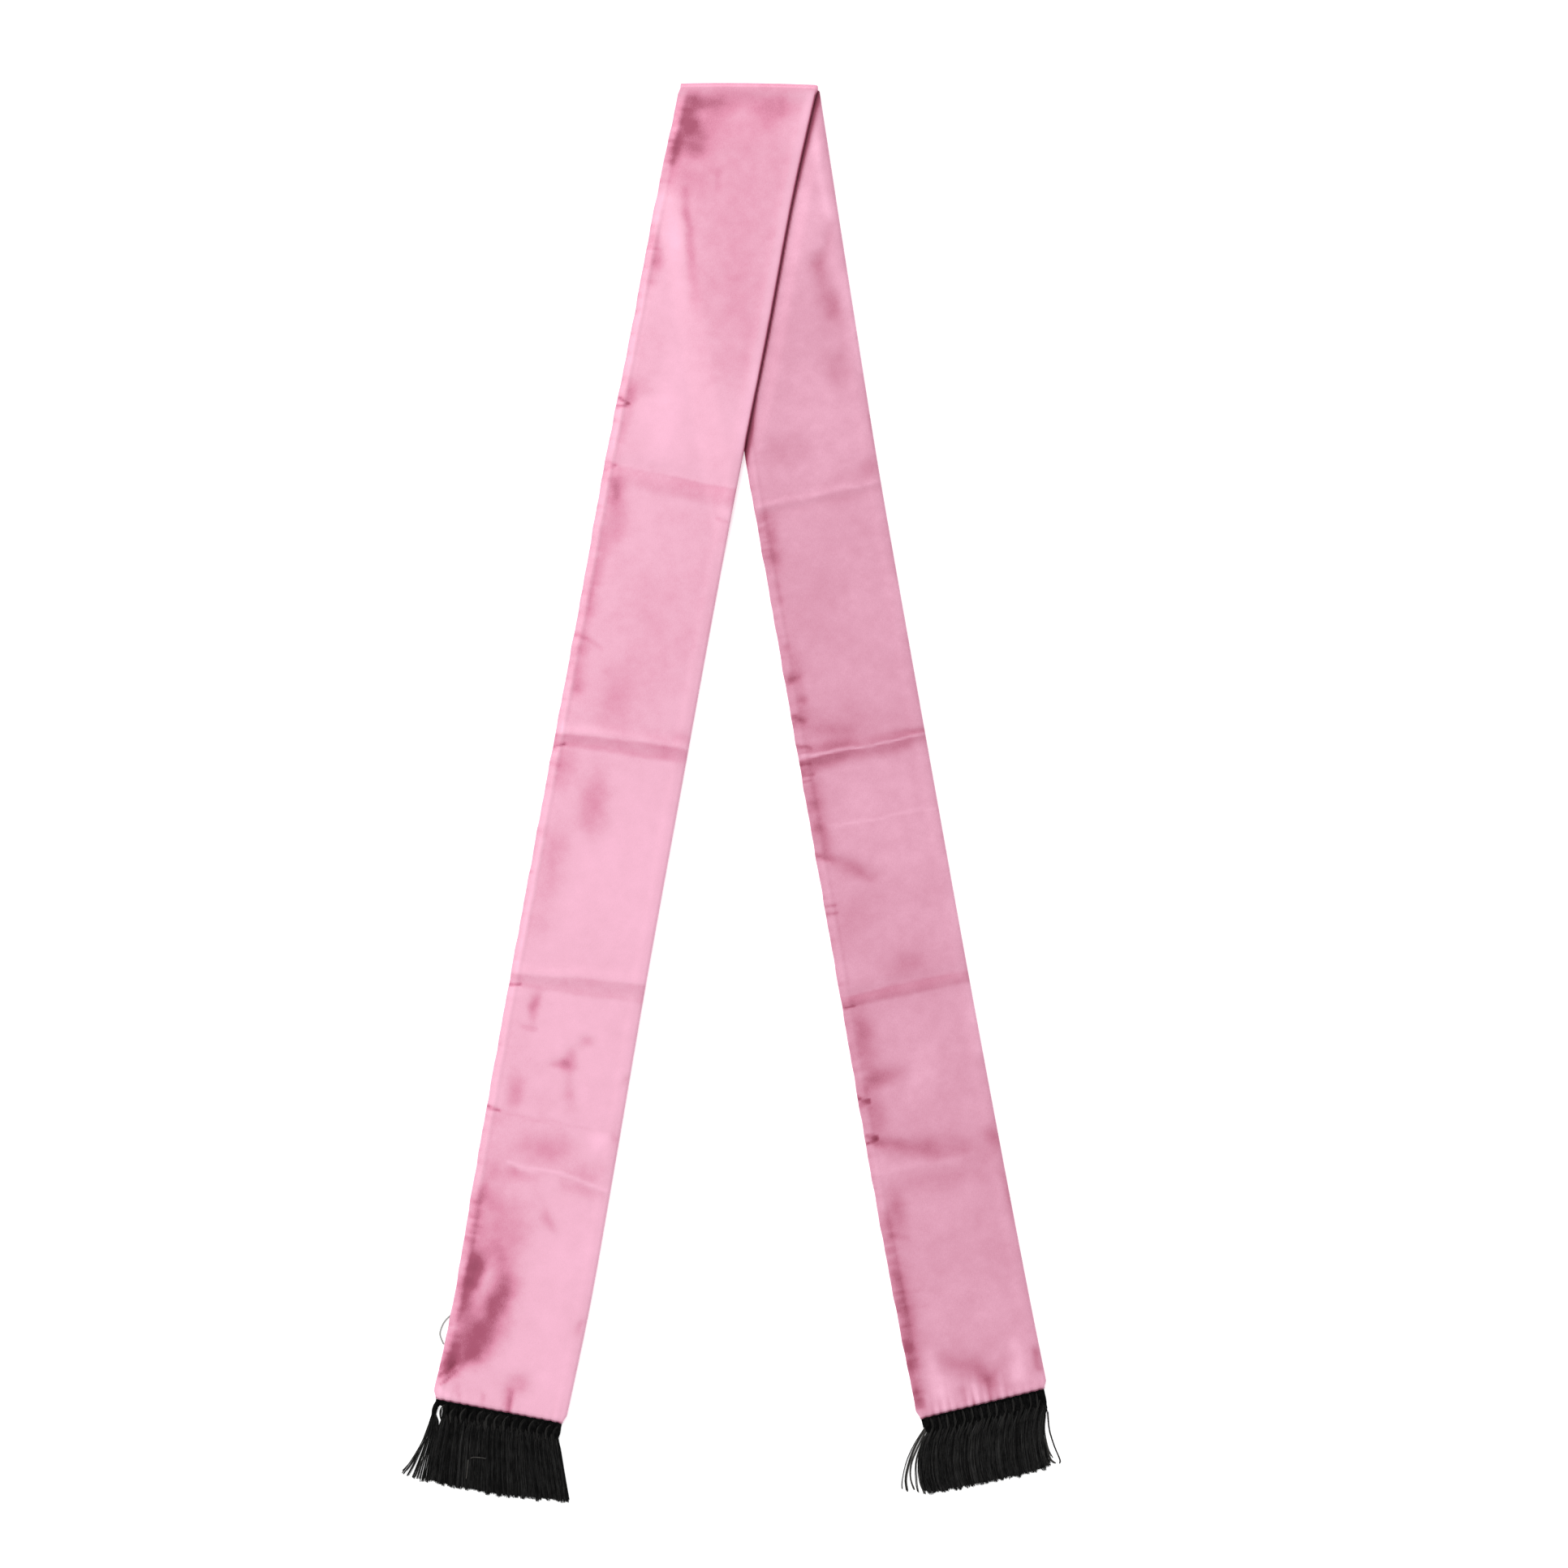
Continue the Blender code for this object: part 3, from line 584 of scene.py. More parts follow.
# The back tail's folds, from where it comes out under the front one: painted shade and highlights, with the
# dips and rises that go with them
BACK_STREAKS = table(
    streak,
    (-0.20, (34.5, 25, 3.5), (34.5, 92, 3.5)),
    (0.34, (34, 94, 3.2, 0.5), (31, 106, 4.2, 0.8), (23, 116, 5.0, 0.8)),
    (-0.26, (37.5, 130, 4.5), (37.5, 184, 4.5)), (0.36, (38.5, 216, 1.6), (38.5, 233, 1.6)),
    (-0.16, (38, 322, 4.0), (38, 346, 4.0)), (-0.20, (38, 492, 4.0), (38, 528, 4.0)),
    (-0.20, (38, 574, 4.0), (38, 610, 4.0)), (-0.08, (-40, 257, 1.4), (0, 256, 1.4), (38, 255, 1.4)),
    (0.34, (-38, 346.5, 2.6)), (0.75, (-39.5, 366, 3.0), (-35, 366, 2.8, 0.6)), (0.35, (-34, 380, 3.0)),
    (0.46, (-41, 390, 1.6), (-34, 394, 2.0)),
    (0.30, (-38, 390, 4.5, 0.6), (-26, 399, 6.5, 0.9), (-10, 407, 7.5, 0.6)),
    (-0.24, (-40, 413, 0.7), (-24, 414.4, 0.7), (0, 414.1, 0.7), (24, 413.9, 0.7), (38, 413.4, 0.7)),
    (0.46, (20, 409, 2.4, 0.4), (31, 411, 2.2, 0.8), (38, 411.3, 2.0, 0.8)),
    (0.58, (-41, 425, 1.6), (-35, 425.6, 1.4, 0.7)), (0.22, (-38, 446, 4.0)), (0.22, (-37, 460, 5.0)),
    (-0.16, (-30, 460, 1.1), (36, 459, 1.1)),
    (0.50, (-42, 475.6, 1.3), (-35, 477.8, 1.7, 0.9), (-25, 482, 3.4, 0.6), (-10, 493, 4.6, 0.5)),
    (0.50, (-41.5, 570.8, 1.1), (-35.5, 570.6, 0.9)), (0.90, (-42, 652, 1.5), (-36, 654, 1.2)),
    (0.85, (-42, 656.6, 1.2), (-36, 654.6, 1.1)),
    (0.46, (-37, 657, 2.8, 0.9), (-22, 661, 4.4, 0.8), (-4, 667, 5.6, 0.6)),
    (-0.22, (-36, 664, 4.0), (-36, 673, 5.0)), (-0.12, (-30, 673, 2.4), (30, 675, 2.8)),
    (0.34, (-37, 714, 1.6), (-28.5, 717, 1.8, 0.6)), (0.30, (-36, 738, 4.4), (-36, 796, 4.4)),
    (0.28, (-42, 750, 1.2), (-23, 750, 1.1, 0.3)), (0.28, (-42, 760, 1.2), (-23, 760, 1.1, 0.3)),
    (0.34, (-20, 795, 5.5, 0.6), (-4, 803, 7.0, 0.9), (8, 812, 6.0)),
    (0.16, (8, 811, 3.0), (22, 800, 5.0, 0.6)), (-0.40, (29, 792, 5.0, 0.6), (26, 814, 6.0)),
    (-0.40, (-29, 790, 5.0, 0.6), (-22, 814, 7.0)),
    (0.50, (2, 800, 5.0, 0.5), (6.5, 812, 4.6), (7.5, 823, 3.0)),
    (0.20, (-9, 816, 2.4), (-9.5, 823, 2.2)), (0.16, (18, 813, 2.4), (18.5, 820, 2.0)),
    (-0.24, (-2.5, 815, 2.4), (-2.5, 822, 2.2)), (0.50, (39.5, 799, 2.6), (39.5, 810, 2.6)),
) + table(
    seam_run,
    (0.36, 261, 298, -36.0, 5.4), (0.34, 304, 322, -37.5, 3.4), (0.36, 428, 478, -36.5, 4.8),
    (0.44, 700, 824, -38.5, 3.8),
) + table(
    pucker,
    (0.60, 406.0, 410.0, -34.0), (0.50, 418.0, 418.0), (0.50, 429.0, 429.2),
    (0.45, 507.0, 507.6, -35.0), (0.45, 512.0, 512.6, -35.0), (0.85, 627.0, 629.0, -35.5),
    (0.75, 631.4, 629.4, -35.5),
)

BACK_BANDS = (
    band(
        0.14, 0.16, (1.0, 3.0),
        (-41, 259, 264, 0.3), (-24, 258.6, 264, 0.4), (-12, 258.8, 265, 0.7), (0, 257.6, 264, 0.9),
        (13, 257, 264, 1.1),
        (24, 256.4, 263, 1.0), (38, 256, 260, 0.8),
    ),
    band(
        0.52, 0.0, (3.5, 0.8),
        (-38, 407.6, 412.5, 0.5), (-24, 408.2, 413.9), (-12, 409, 414.0, 0.9), (0, 408.4, 413.7, 0.5),
        (12, 409, 413.8, 0.75), (24, 409.8, 413.5, 0.75), (34, 410.4, 413.5, 0.5),
    ),
    band(
        0.48, 0.16, (0.6, 4.4),
        (-41, 415.9, 424, 1.05), (-24, 415.3, 423, 1.55), (-12, 415.2, 422, 1.2), (0, 414.6, 422, 0.85),
        (14, 414.6, 422, 1.0), (26, 414.4, 421, 1.0), (38, 413.9, 417.5, 0.7),
    ),
    band(0.33, -0.30, (1.2, 1.6), (-41, 564.4, 571), (0, 561.8, 570, 1.05), (38, 561.2, 568.4, 0.75)),
)

BACK_PATCHES = table(
    Patch,
    (-0.22, 18, 80, 20, 50), (0.50, 22, 121, 5, 10), (0.50, 25, 143, 6, 12), (0.30, 22, 182, 9, 11),
    (-0.16, 2, 222, 44, 30), (0.34, -14, 226, 18, 11), (0.28, 31, 246, 4.5, 7), (0.12, 18, 248, 22, 7),
    (0.20, -35, 285, 6, 26), (0.08, -5, 318, 14, 14), (0.32, -36, 375, 5.5, 34),
    (0.10, -14, 404, 17, 9, 15), (0.14, 0, 398, 36, 12), (0.13, -34, 450, 6, 28),
    (-0.13, 6, 460, 36, 36), (0.26, -22, 488, 13, 4.5, 25), (0.14, -24, 515, 13, 11),
    (0.28, 2, 551, 17, 8.5), (0.05, 0, 566, 44, 6), (0.54, -33.5, 592, 8, 22),
    (0.62, -27, 617, 12, 6, -10), (-0.20, -2, 620, 12, 14), (-0.20, -37, 615, 4, 4),
    (0.42, -34.5, 640, 6, 20), (0.24, 10, 664, 34, 6), (0.50, 35, 664, 5, 8), (0.28, 20, 672, 18, 5, 8),
    (0.20, 28, 677, 6, 4), (0.22, 4, 685, 36, 7), (0.53, -31, 700, 5.5, 14), (0.30, 38, 700, 3, 18),
    (0.08, 30, 738, 8, 8), (-0.24, -36, 752, 5, 6), (0.34, -34, 775, 6, 30), (0.46, -37, 815, 3.6, 9),
)


@dataclass(frozen=True)
class Strip:
    """The straight middle line of one tail, from the neck fold down."""

    neck_x: float
    neck_y: float
    slant: float

    def places(self, x: Array, y: Array) -> tuple[Array, Array]:
        """How far across and how far along the strip places on the ground are, all in mm."""
        sine, cosine = math.sin(math.radians(self.slant)), math.cos(math.radians(self.slant))
        dx, dy = x - self.neck_x, y - self.neck_y
        return dx * cosine + dy * sine, dx * sine - dy * cosine


@dataclass(frozen=True)
class Lie:
    """How the folded scarf lies: the same sizes as the solids are built from."""

    tube: float = 2.5
    crown: float = 0.9
    neck_y: float = 437.7
    neck_tilt: float = 1.0
    neck_sag: float = 0.7
    neck_sag_fades: float = 60.0
    rest_gap: float = 0.3
    bend_inner: float = 0.5
    bend_settles: float = 14.0
    crown_full: float = 40.0
    tuck: float = 15.15
    step_starts: float = 9.0
    step_ends: float = 29.0
    clear_starts: float = 1.5
    clear_ends: float = 12.0
    slant: float = 10.3

    @property
    def bend_outer(self) -> float:
        """The neck bend's outer radius."""
        return self.tube + self.bend_inner


LIE = Lie()


@dataclass(frozen=True)
class Outline:
    """One stretch's edges and hem, in mm below the neck fold."""

    rows: tuple[EdgeRow, ...]
    hem_left_down: float
    hem_right_down: float

    def edge_x(self, down: Array, right: bool) -> Array:
        """Where the left or right edge lies at a level."""
        levels = np.array([row.down for row in self.rows])
        edges = np.array([row.right_x if right else row.left_x for row in self.rows])
        return curve_through(levels, edges, np.asarray(down, float))

    def width(self, down: Array) -> Array:
        """How wide the stretch is at a level."""
        return self.edge_x(down, True) - self.edge_x(down, False)

    def from_hem(self, down: Array, across: Array) -> Array:
        """How far above the hem a place lies."""
        return blend(self.hem_left_down, self.hem_right_down, across) - down

    def neck_line(self, x: Array) -> Array:
        """The place in y of the neck fold over a place in x."""
        neck = self.rows[0]
        share = (x - neck.left_x) / (neck.right_x - neck.left_x)
        return LIE.neck_y - LIE.neck_tilt * (share - 0.5) - LIE.neck_sag * (2 * share - 1) ** 2

    def place(self, left_down: Array, right_down: Array, across: Array) -> tuple[Array, Array, Array]:
        """The x, y and level of points a share of the way across rows, from their levels at both edges."""
        x = blend(self.edge_x(left_down, False), self.edge_x(right_down, True), across)
        down = blend(left_down, right_down, across)
        bow = (LIE.neck_y - self.neck_line(x)) * (1 - ease(0.0, LIE.neck_sag_fades, down))
        return x, LIE.neck_y - bow - down, down


FRONT_OUTLINE = Outline(
    rows=table(
        EdgeRow,
        (0.0, -30.8, 54.0), (73.8, -46.5, 38.0), (153.8, -61.6, 23.1), (233.8, -77.6, 7.0),
        (313.8, -91.8, -8.2), (433.8, -114.3, -30.1), (553.8, -136.5, -51.8), (673.8, -158.0, -72.4),
        (753.8, -171.6, -86.6), (826.0, -187.3, -101.8),
    ),
    hem_left_down=810.4,
    hem_right_down=826.0,
)

BACK_OUTLINE = Outline(
    rows=table(
        EdgeRow,
        (0.0, -30.8, 54.4), (73.8, -18.1, 65.5), (153.8, -4.3, 78.0), (233.8, 9.5, 90.7),
        (313.8, 23.8, 104.6), (433.8, 44.9, 126.0), (553.8, 66.0, 147.6), (673.8, 86.8, 170.0),
        (753.8, 101.6, 185.4), (822.0, 115.2, 199.2),
    ),
    hem_left_down=823.3,
    hem_right_down=804.1,
)


def front_rest_height(x: Array, down: Array) -> Array:
    """How high the front stretch's underside lies, on the back stretch and beside it on the ground."""
    off_back = (BACK_OUTLINE.edge_x(down, False) - x) * math.cos(math.radians(LIE.slant))
    rest = (LIE.tube + LIE.rest_gap) * (1 - ease(LIE.step_starts, LIE.step_ends, off_back))
    loop = (2 * LIE.bend_inner - LIE.rest_gap) * (1 - ease(0.0, LIE.bend_settles, down))
    return rest + loop


def off_front_edge(x: Array, down: Array) -> Array:
    """How far to the right of the front stretch's folded edge a place lies, in mm."""
    return (x - FRONT_OUTLINE.edge_x(down, True)) * math.cos(math.radians(LIE.slant))


@dataclass(frozen=True)
class Folds:
    """The folds of one tail, read as painted shade and highlights and as a height at any place in its strip.
    """

    streaks: tuple[Streak, ...]
    bands: tuple[Band, ...]
    patches: tuple[Patch, ...]
    seed: int
    depth: float = 0.55
    broad: float = 4.0
    patch_depth: float = 0.275
    band_dip: float = 0.4
    wander: float = 1.5
    wander_size: float = 12.0
    ripple: float = 0.55
    ripple_size: float = 4.0
    band_wander: float = 0.3
    uneven: float = 0.18
    uneven_size: float = 8.0
    firm: float = 1.1
    gather: float = 1.0

    def streak_shape(self, spots: tuple[Spot, ...], across: Array, along: Array) -> Array:
        """How strongly each place lies in one streak, from 0 to about 1."""
        best = np.zeros_like(across)
        for first, last in zip(spots, spots[1:] or spots):
            du, ds = last.across - first.across, last.along - first.along
            length_squared = max(du * du + ds * ds, 1e-9)
            t = np.clip(((across - first.across) * du + (along - first.along) * ds) / length_squared, 0, 1)
            half = blend(first.half_width, last.half_width, t)
            off = (across - first.across - du * t) ** 2 + (along - first.along - ds * t) ** 2
            best = np.maximum(best, blend(first.strength, last.strength, t) * np.exp(-off / half**2))
        return best

    def patch_shape(self, patch: Patch, across: Array, along: Array) -> Array:
        """How strongly each place lies in one patch, from 0 to 1."""
        sine, cosine = math.sin(math.radians(patch.turn)), math.cos(math.radians(patch.turn))
        du, ds = across - patch.across, along - patch.along
        wide, long = du * cosine + ds * sine, ds * cosine - du * sine
        return np.exp(-(((wide / patch.half_across) ** 2 + (long / patch.half_along) ** 2) ** self.firm))

    def stray(self, across: Array, along: Array, axis: int) -> Array:
        """How far the folds stray from their spots on one axis, in mm."""
        seed = self.seed + 2 * axis
        wide = self.wander * soft_noise(across, along, self.wander_size, seed)
        return wide + self.ripple * soft_noise(across, along, self.ripple_size, seed + 1)

    def patchy(self, across: Array, along: Array, salt: int) -> Array:
        """How uneven the folds' painted shade and highlights are at each place, around 1."""
        return 1 + self.uneven * soft_noise(across, along, self.uneven_size, self.seed + salt)

    def read(self, across: Array, along: Array) -> tuple[Array, Array]:
        """Reads the folds.

        Args:
            across: Places across the strip, in mm.
            along: Places along the strip, in mm.

        Returns:
            The painted shading, which is painted shade over 0 where the cloth turns from the light and a
            painted highlight under 0; and the height in mm.
        """
        across, along = across + self.stray(across, along, 0), along + self.stray(across, along, 1)
        steady = along - (1 - self.band_wander) * self.stray(across, along, 1)
        tone, height = np.zeros_like(across), np.zeros_like(across)
        for fold in self.streaks:
            _, places, halves, _ = (np.array(axis) for axis in zip(*fold.spots))
            reach = 3 * max(halves)
            near = (along > min(places) - reach) & (along < max(places) + reach)
            shape = self.streak_shape(fold.spots, across[near], along[near])
            tone[near] += fold.tone * shape
            height[near] -= self.depth * fold.tone * min(1.0, float(np.mean(halves)) / self.broad) * shape
        for patch in self.patches:
            shape = self.patch_shape(patch, across, along)
            tone += patch.tone * shape
            height -= self.patch_depth * patch.tone * shape
        tone *= self.patchy(across, along, 4)
        band_patchy = self.patchy(across, steady, 6)
        for crease in self.bands:
            places, *runs = zip(*crease.spots)
            top, bottom, strength = (np.interp(across, places, run) for run in runs)
            enter = ease(-crease.soft_top, crease.soft_top, steady - top)
            leave = 1 - ease(-crease.soft_bottom, crease.soft_bottom, steady - bottom)
            tone += crease.tone * strength * enter * leave * band_patchy
            half = 0.5 * (bottom - top)
            dip = self.band_dip * bell(steady - 0.5 * (top + bottom), half)
            height += crease.ridge * (bell(steady - top, half) - dip)
        return tone, height


@dataclass(frozen=True)
class Shell:
    """Sizes of the cloth shells' meshes and of the folded tube's edges, in mm, and the strengths of the
    painted shade and highlights on them.
    """

    wall: float = 0.4
    seam_height: float = 1.25
    seam_run: float = 5.0
    hem_height: float = 1.75
    hem_run: float = 0.9
    least_over_seam: float = 0.3
    joint: float = 4.4
    nose: float = 1.2
    edge_inset: float = 0.6
    row_step: float = 1.6
    crease_step: float = 1.0
    crease_reach: float = 7.0
    edge_step: float = 0.95
    middle_step: float = 1.5
    edge_zone: float = 10.0
    under_columns: int = 11
    bend_rows: int = 14
    scallop: float = 0.42
    scallop_pitch: float = 5.2
    scallop_run: float = 3.0
    corner: float = 1.9
    corner_run: float = 5.5
    gather_run: float = 4.4
    gather_varies: float = 2.4
    gather_size: float = 7.0
    # Strength of the painted shade between the hem's gathers and of the painted highlight on them
    gather_painted_shading: float = 0.6
    gather_dip: float = 0.25
    # The painted shadow line along the hem: its run and its strength
    hem_line: float = 0.2
    hem_painted_shadow: float = 0.8
    pull_wide: float = 0.16
    pull_fine: float = 0.12
    pull_share: float = 0.12
    pucker_run: float = 4.5
    pucker_least: float = 0.25
    # Strength of the painted shade in the seam's puckers
    pucker_painted_shade: float = 0.4
    pucker_dip: float = 0.2
    ripple_size: float = 2.3
    ripple_run: float = 8.0
    # Strength of the painted shade in the seam's ripples
    ripple_painted_shade: float = 0.6
    # Painted shade and highlights of the hidden ply: a share of its folds' and a plain offset
    under_painted_shading: float = 0.4
    under_painted_base: float = 0.05
    ply_turns: tuple[float, float] = (0.3, 0.7)


SHELL = Shell()


class EdgeLine(NamedTuple):
    """A ridge or a groove that keeps to an edge: how far in it lies, its half width, the strength of its
    painted shade (a painted highlight under zero), and its height.
    """

    inset: float
    half_width: float
    tone: float
    height: float


# Painted highlights on the folded edge's ridge and the seam's ridge, and painted shade in the seam's groove
FOLD_RIDGE = EdgeLine(5.5, 3.0, -0.05, 0.18)
SEAM_RIDGE = EdgeLine(3.6, 1.8, -0.07, 0.15)
SEAM_GROOVE = EdgeLine(6.6, 1.0, 0.12, -0.06)


@dataclass
class Tail:
    """One stretch of the scarf, as a thin shell round the folded strip.

    Attributes:
        name: The piece's name.
        outline: Its edges and hem.
        strip: Its middle line.
        folds: The folds of the ply that shows.
        under: The folds of the hidden ply.
    """

    name: str
    outline: Outline
    strip: Strip
    folds: Folds
    under: Folds

    def ring(self, top_is_outer: bool) -> tuple[Array, Array]:
        """The points round one section, from the sewn left edge over the outer ply and back.

        Args:
            top_is_outer: Whether the ply that shows is the outer one, which comes first.

        Returns:
            Each point's share of the way across, and its level, which is 0 on the outer ply's outside.
        """
        width = self.outline.rows[4].right_x - self.outline.rows[4].left_x
        left, right = SHELL.edge_inset, width - SHELL.nose
        near, far = SHELL.edge_zone, width - SHELL.edge_zone
        fine = np.concatenate([
            np.linspace(left, near, round((near - left) / SHELL.edge_step), endpoint=False),
            np.linspace(near, far, round((far - near) / SHELL.middle_step), endpoint=False),
            np.linspace(far, right, round((right - far) / SHELL.edge_step)),
        ])
        coarse = np.linspace(left, right, SHELL.under_columns)
        outer, inner = (fine, coarse) if top_is_outer else (coarse, fine)
        fold = [(1 - 0.45 * SHELL.nose / width, 0.1), (1.0 - 0.1 * SHELL.nose / width, 0.3), (1.0, 0.5)]
        points = [(place / width, 0.0) for place in outer] + fold
        points += [(share, 1 - level) for share, level in fold[-2::-1]]
        points += [(place / width, 1.0) for place in inner[::-1]]
        points += [(0.1 / width, 0.78), (0.0, 0.5), (0.1 / width, 0.22)]
        across, level = (np.array(axis) for axis in zip(*points))
        return across, level

    def levels(self, start: float) -> tuple[Array, Array]:
        """The rows' levels at the left and right edges, closer together at the pressed creases.

        Args:
            start: The first row's level.

        Returns:
            The levels at the left edge and at the right edge.
        """
        spots = [spot for crease in self.folds.bands for spot in crease.spots]
        creases = [place for spot in spots for place in (spot.top, spot.bottom)]
        ends = self.outline.hem_left_down, self.outline.hem_right_down
        end = 0.5 * sum(ends)
        at = [start]
        while at[-1] < end:
            near = any(abs(at[-1] - crease) < SHELL.crease_reach for crease in creases)
            at.append(at[-1] + (SHELL.crease_step if near else SHELL.row_step))
        share = (np.array(at) - start) / (at[-1] - start)
        return blend(start, ends[0], share), blend(start, ends[1], share)

    def lobes(self, u: Array) -> Array:
        """How far each place lies in a lobe of the gathered hem, from 0 between two to 1 in the middle."""
        return np.abs(np.sin(np.pi * (u + 41.0) / SHELL.scallop_pitch))

    def wavered(self, left: Array, right: Array, across: Array) -> tuple[Array, Array, Array]:
        """Places of a grid of points, with the hem's scallops and the sewn edge's little pulls."""
        x, y, down = self.outline.place(left, right, across)
        u, along = self.strip.places(x, y)
        from_hem = self.outline.from_hem(down, across)
        y = y - SHELL.scallop * (self.lobes(u) - 0.5) * (1 - ease(0.0, SHELL.scallop_run, from_hem))
        x = x - SHELL.corner * (2 * across - 1) ** 9 * (1 - ease(0.0, SHELL.corner_run, from_hem))
        pull = SHELL.pull_wide * np.sin(along / 2.9) * np.sin(along / 11.3 + 1.0)
        pull = pull + SHELL.pull_fine * np.sin(along / 6.1 + 2.0)
        return x + pull * (1 - ease(0.0, SHELL.pull_share, across)), y, down

    def painted_shading_and_height(self, x: Array, y: Array, down: Array, across: Array) -> tuple[Array, Array]:
        """The painted shade and highlights, and the height, of the ply that shows.

        Args:
            x: Places in x.
            y: Places in y.
            down: Levels below the neck fold.
            across: Shares of the way across.

        Returns:
            The painted shading and the height over the tube, in mm.
        """
        u, along = self.strip.places(x, y)
        tone, height = self.folds.read(u, along)
        width = self.outline.width(down)
        from_left, from_right = across * width, (1 - across) * width
        patchy = 0.5 + 0.5 * np.sin(along / 23.0 + 0.8) * np.sin(along / 61.0 + 2.0)
        # Painted highlights on the edge ridges and painted shade in the seam's groove, with their heights
        for line, off, share in (
            (FOLD_RIDGE, from_right, 1.0), (SEAM_RIDGE, from_left, 1.0), (SEAM_GROOVE, from_left, patchy)
        ):
            shape = bell(off - line.inset, line.half_width)
            tone = tone + line.tone * shape * share
            height = height + line.height * shape
        # The seam's puckers and ripples: painted shade, with a dip
        pull = np.sin(along / 1.7 + 2.2 * np.sin(along / 9.0)) * np.sin(along / 4.3 + 0.6)
        pull = np.maximum(0.0, pull - SHELL.pucker_least) * np.exp(-from_left / SHELL.pucker_run)
        ripple = soft_noise(0.3 * u + 0.25 * along, along, SHELL.ripple_size, self.folds.seed + 12)
        ripple = ripple * bell(from_left, SHELL.ripple_run)
        tone = tone + SHELL.pucker_painted_shade * pull + SHELL.ripple_painted_shade * np.clip(tone, 0.0, 0.4) * ripple
        # The hem's gathers: painted highlights on their lobes, painted shade and dips between them; then a
        # painted shadow line along the hem
        patchy = soft_noise(u, np.zeros_like(u), SHELL.gather_size, self.folds.seed + 8)
        gather = self.folds.gather * (0.85 - 1.7 * self.lobes(u)) * (0.75 + 0.5 * patchy)
        from_hem = np.maximum(self.outline.from_hem(down, across), 0.0)
        gathered = gather * np.exp(-from_hem / (SHELL.gather_run + SHELL.gather_varies * patchy))
        tone = tone + SHELL.gather_painted_shading * gathered + SHELL.hem_painted_shadow * np.exp(-from_hem / SHELL.hem_line)
        crown = LIE.crown * np.sqrt(np.maximum(0.0, np.sin(np.pi * across)))
        return tone, height - SHELL.pucker_dip * pull - SHELL.gather_dip * gathered + crown

    def tube_height(self, relief: Array, down: Array, across: Array) -> Array:
        """The tube's height at each point, down to its sewn edge and its hem."""
        body = np.maximum(LIE.tube + relief, SHELL.seam_height + SHELL.least_over_seam)
        body = blend(SHELL.seam_height, body, ease(-2.0, SHELL.seam_run, across * self.outline.width(down)))
        return blend(SHELL.hem_height, body, ease(0.0, SHELL.hem_run, self.outline.from_hem(down, across)))

    def grid(self, across: Array, start: float) -> tuple[Array, ...]:
        """The x, y, level, share across, painted shading and relief of all the rows from a level down to the
        hem.
        """
        left, right = self.levels(start)
        shares = np.broadcast_to(across, (len(left), len(across)))
        x, y, down = self.wavered(left[:, None], right[:, None], shares)
        return x, y, down, shares, *self.painted_shading_and_height(x, y, down, shares)

    def both_plies(self, x: Array, y: Array, tone: Array, shown: Array) -> Array:
        """The painted shade and highlights all round the tube: those of the ply that shows, and the hidden
        one's plainer folds.
        """
        u, along = self.strip.places(x, y)
        under, _ = self.under.read(-u, along)
        return blend(SHELL.under_painted_shading * under + SHELL.under_painted_base, tone, shown)

    def finished(self, points: Array, tone: Array, satin: SatinFinish) -> bpy.types.Object:
        """Turns a grid of points into the shell.

        Args:
            points: Rows of rings of points, in mm.
            tone: The painted shade and highlight of each point.
            satin: The finish.

        Returns:
            The piece, with its wall still live as a modifier.
        """
        columns = tone.shape[1]
        mesh = bpy.data.meshes.new(self.name)
        mesh.from_pydata((points.reshape(-1, 3) * MM).tolist(), [], tube_faces(*tone.shape).tolist())
        point_numbers(mesh, "tone", tone.ravel().astype(np.float32))
        corners = np.empty(len(mesh.loops), np.int32)
        mesh.loops.foreach_get("vertex_index", corners)
        x, y, _ = points.reshape(-1, 3)[corners].T
        uv = np.stack(self.strip.places(x, y), axis=-1) * MM
        mesh.uv_layers.new(name="strip").data.foreach_set("uv", uv.ravel().astype(np.float32))
        mesh.materials.append(satin.material())
        middle = mesh.polygons[len(mesh.polygons) * 3 // 4 // columns * columns + columns // 3]
        above = middle.center.z > MM * LIE.tube / 2
        if (middle.normal.z > 0) != above:
            mesh.flip_normals()
        mesh.shade_smooth()
        item = add_object(self.name, mesh)
        wall = item.modifiers.new("wall", "SOLIDIFY")
        wall.thickness = SHELL.wall * MM
        wall.offset = -1.0
        return item


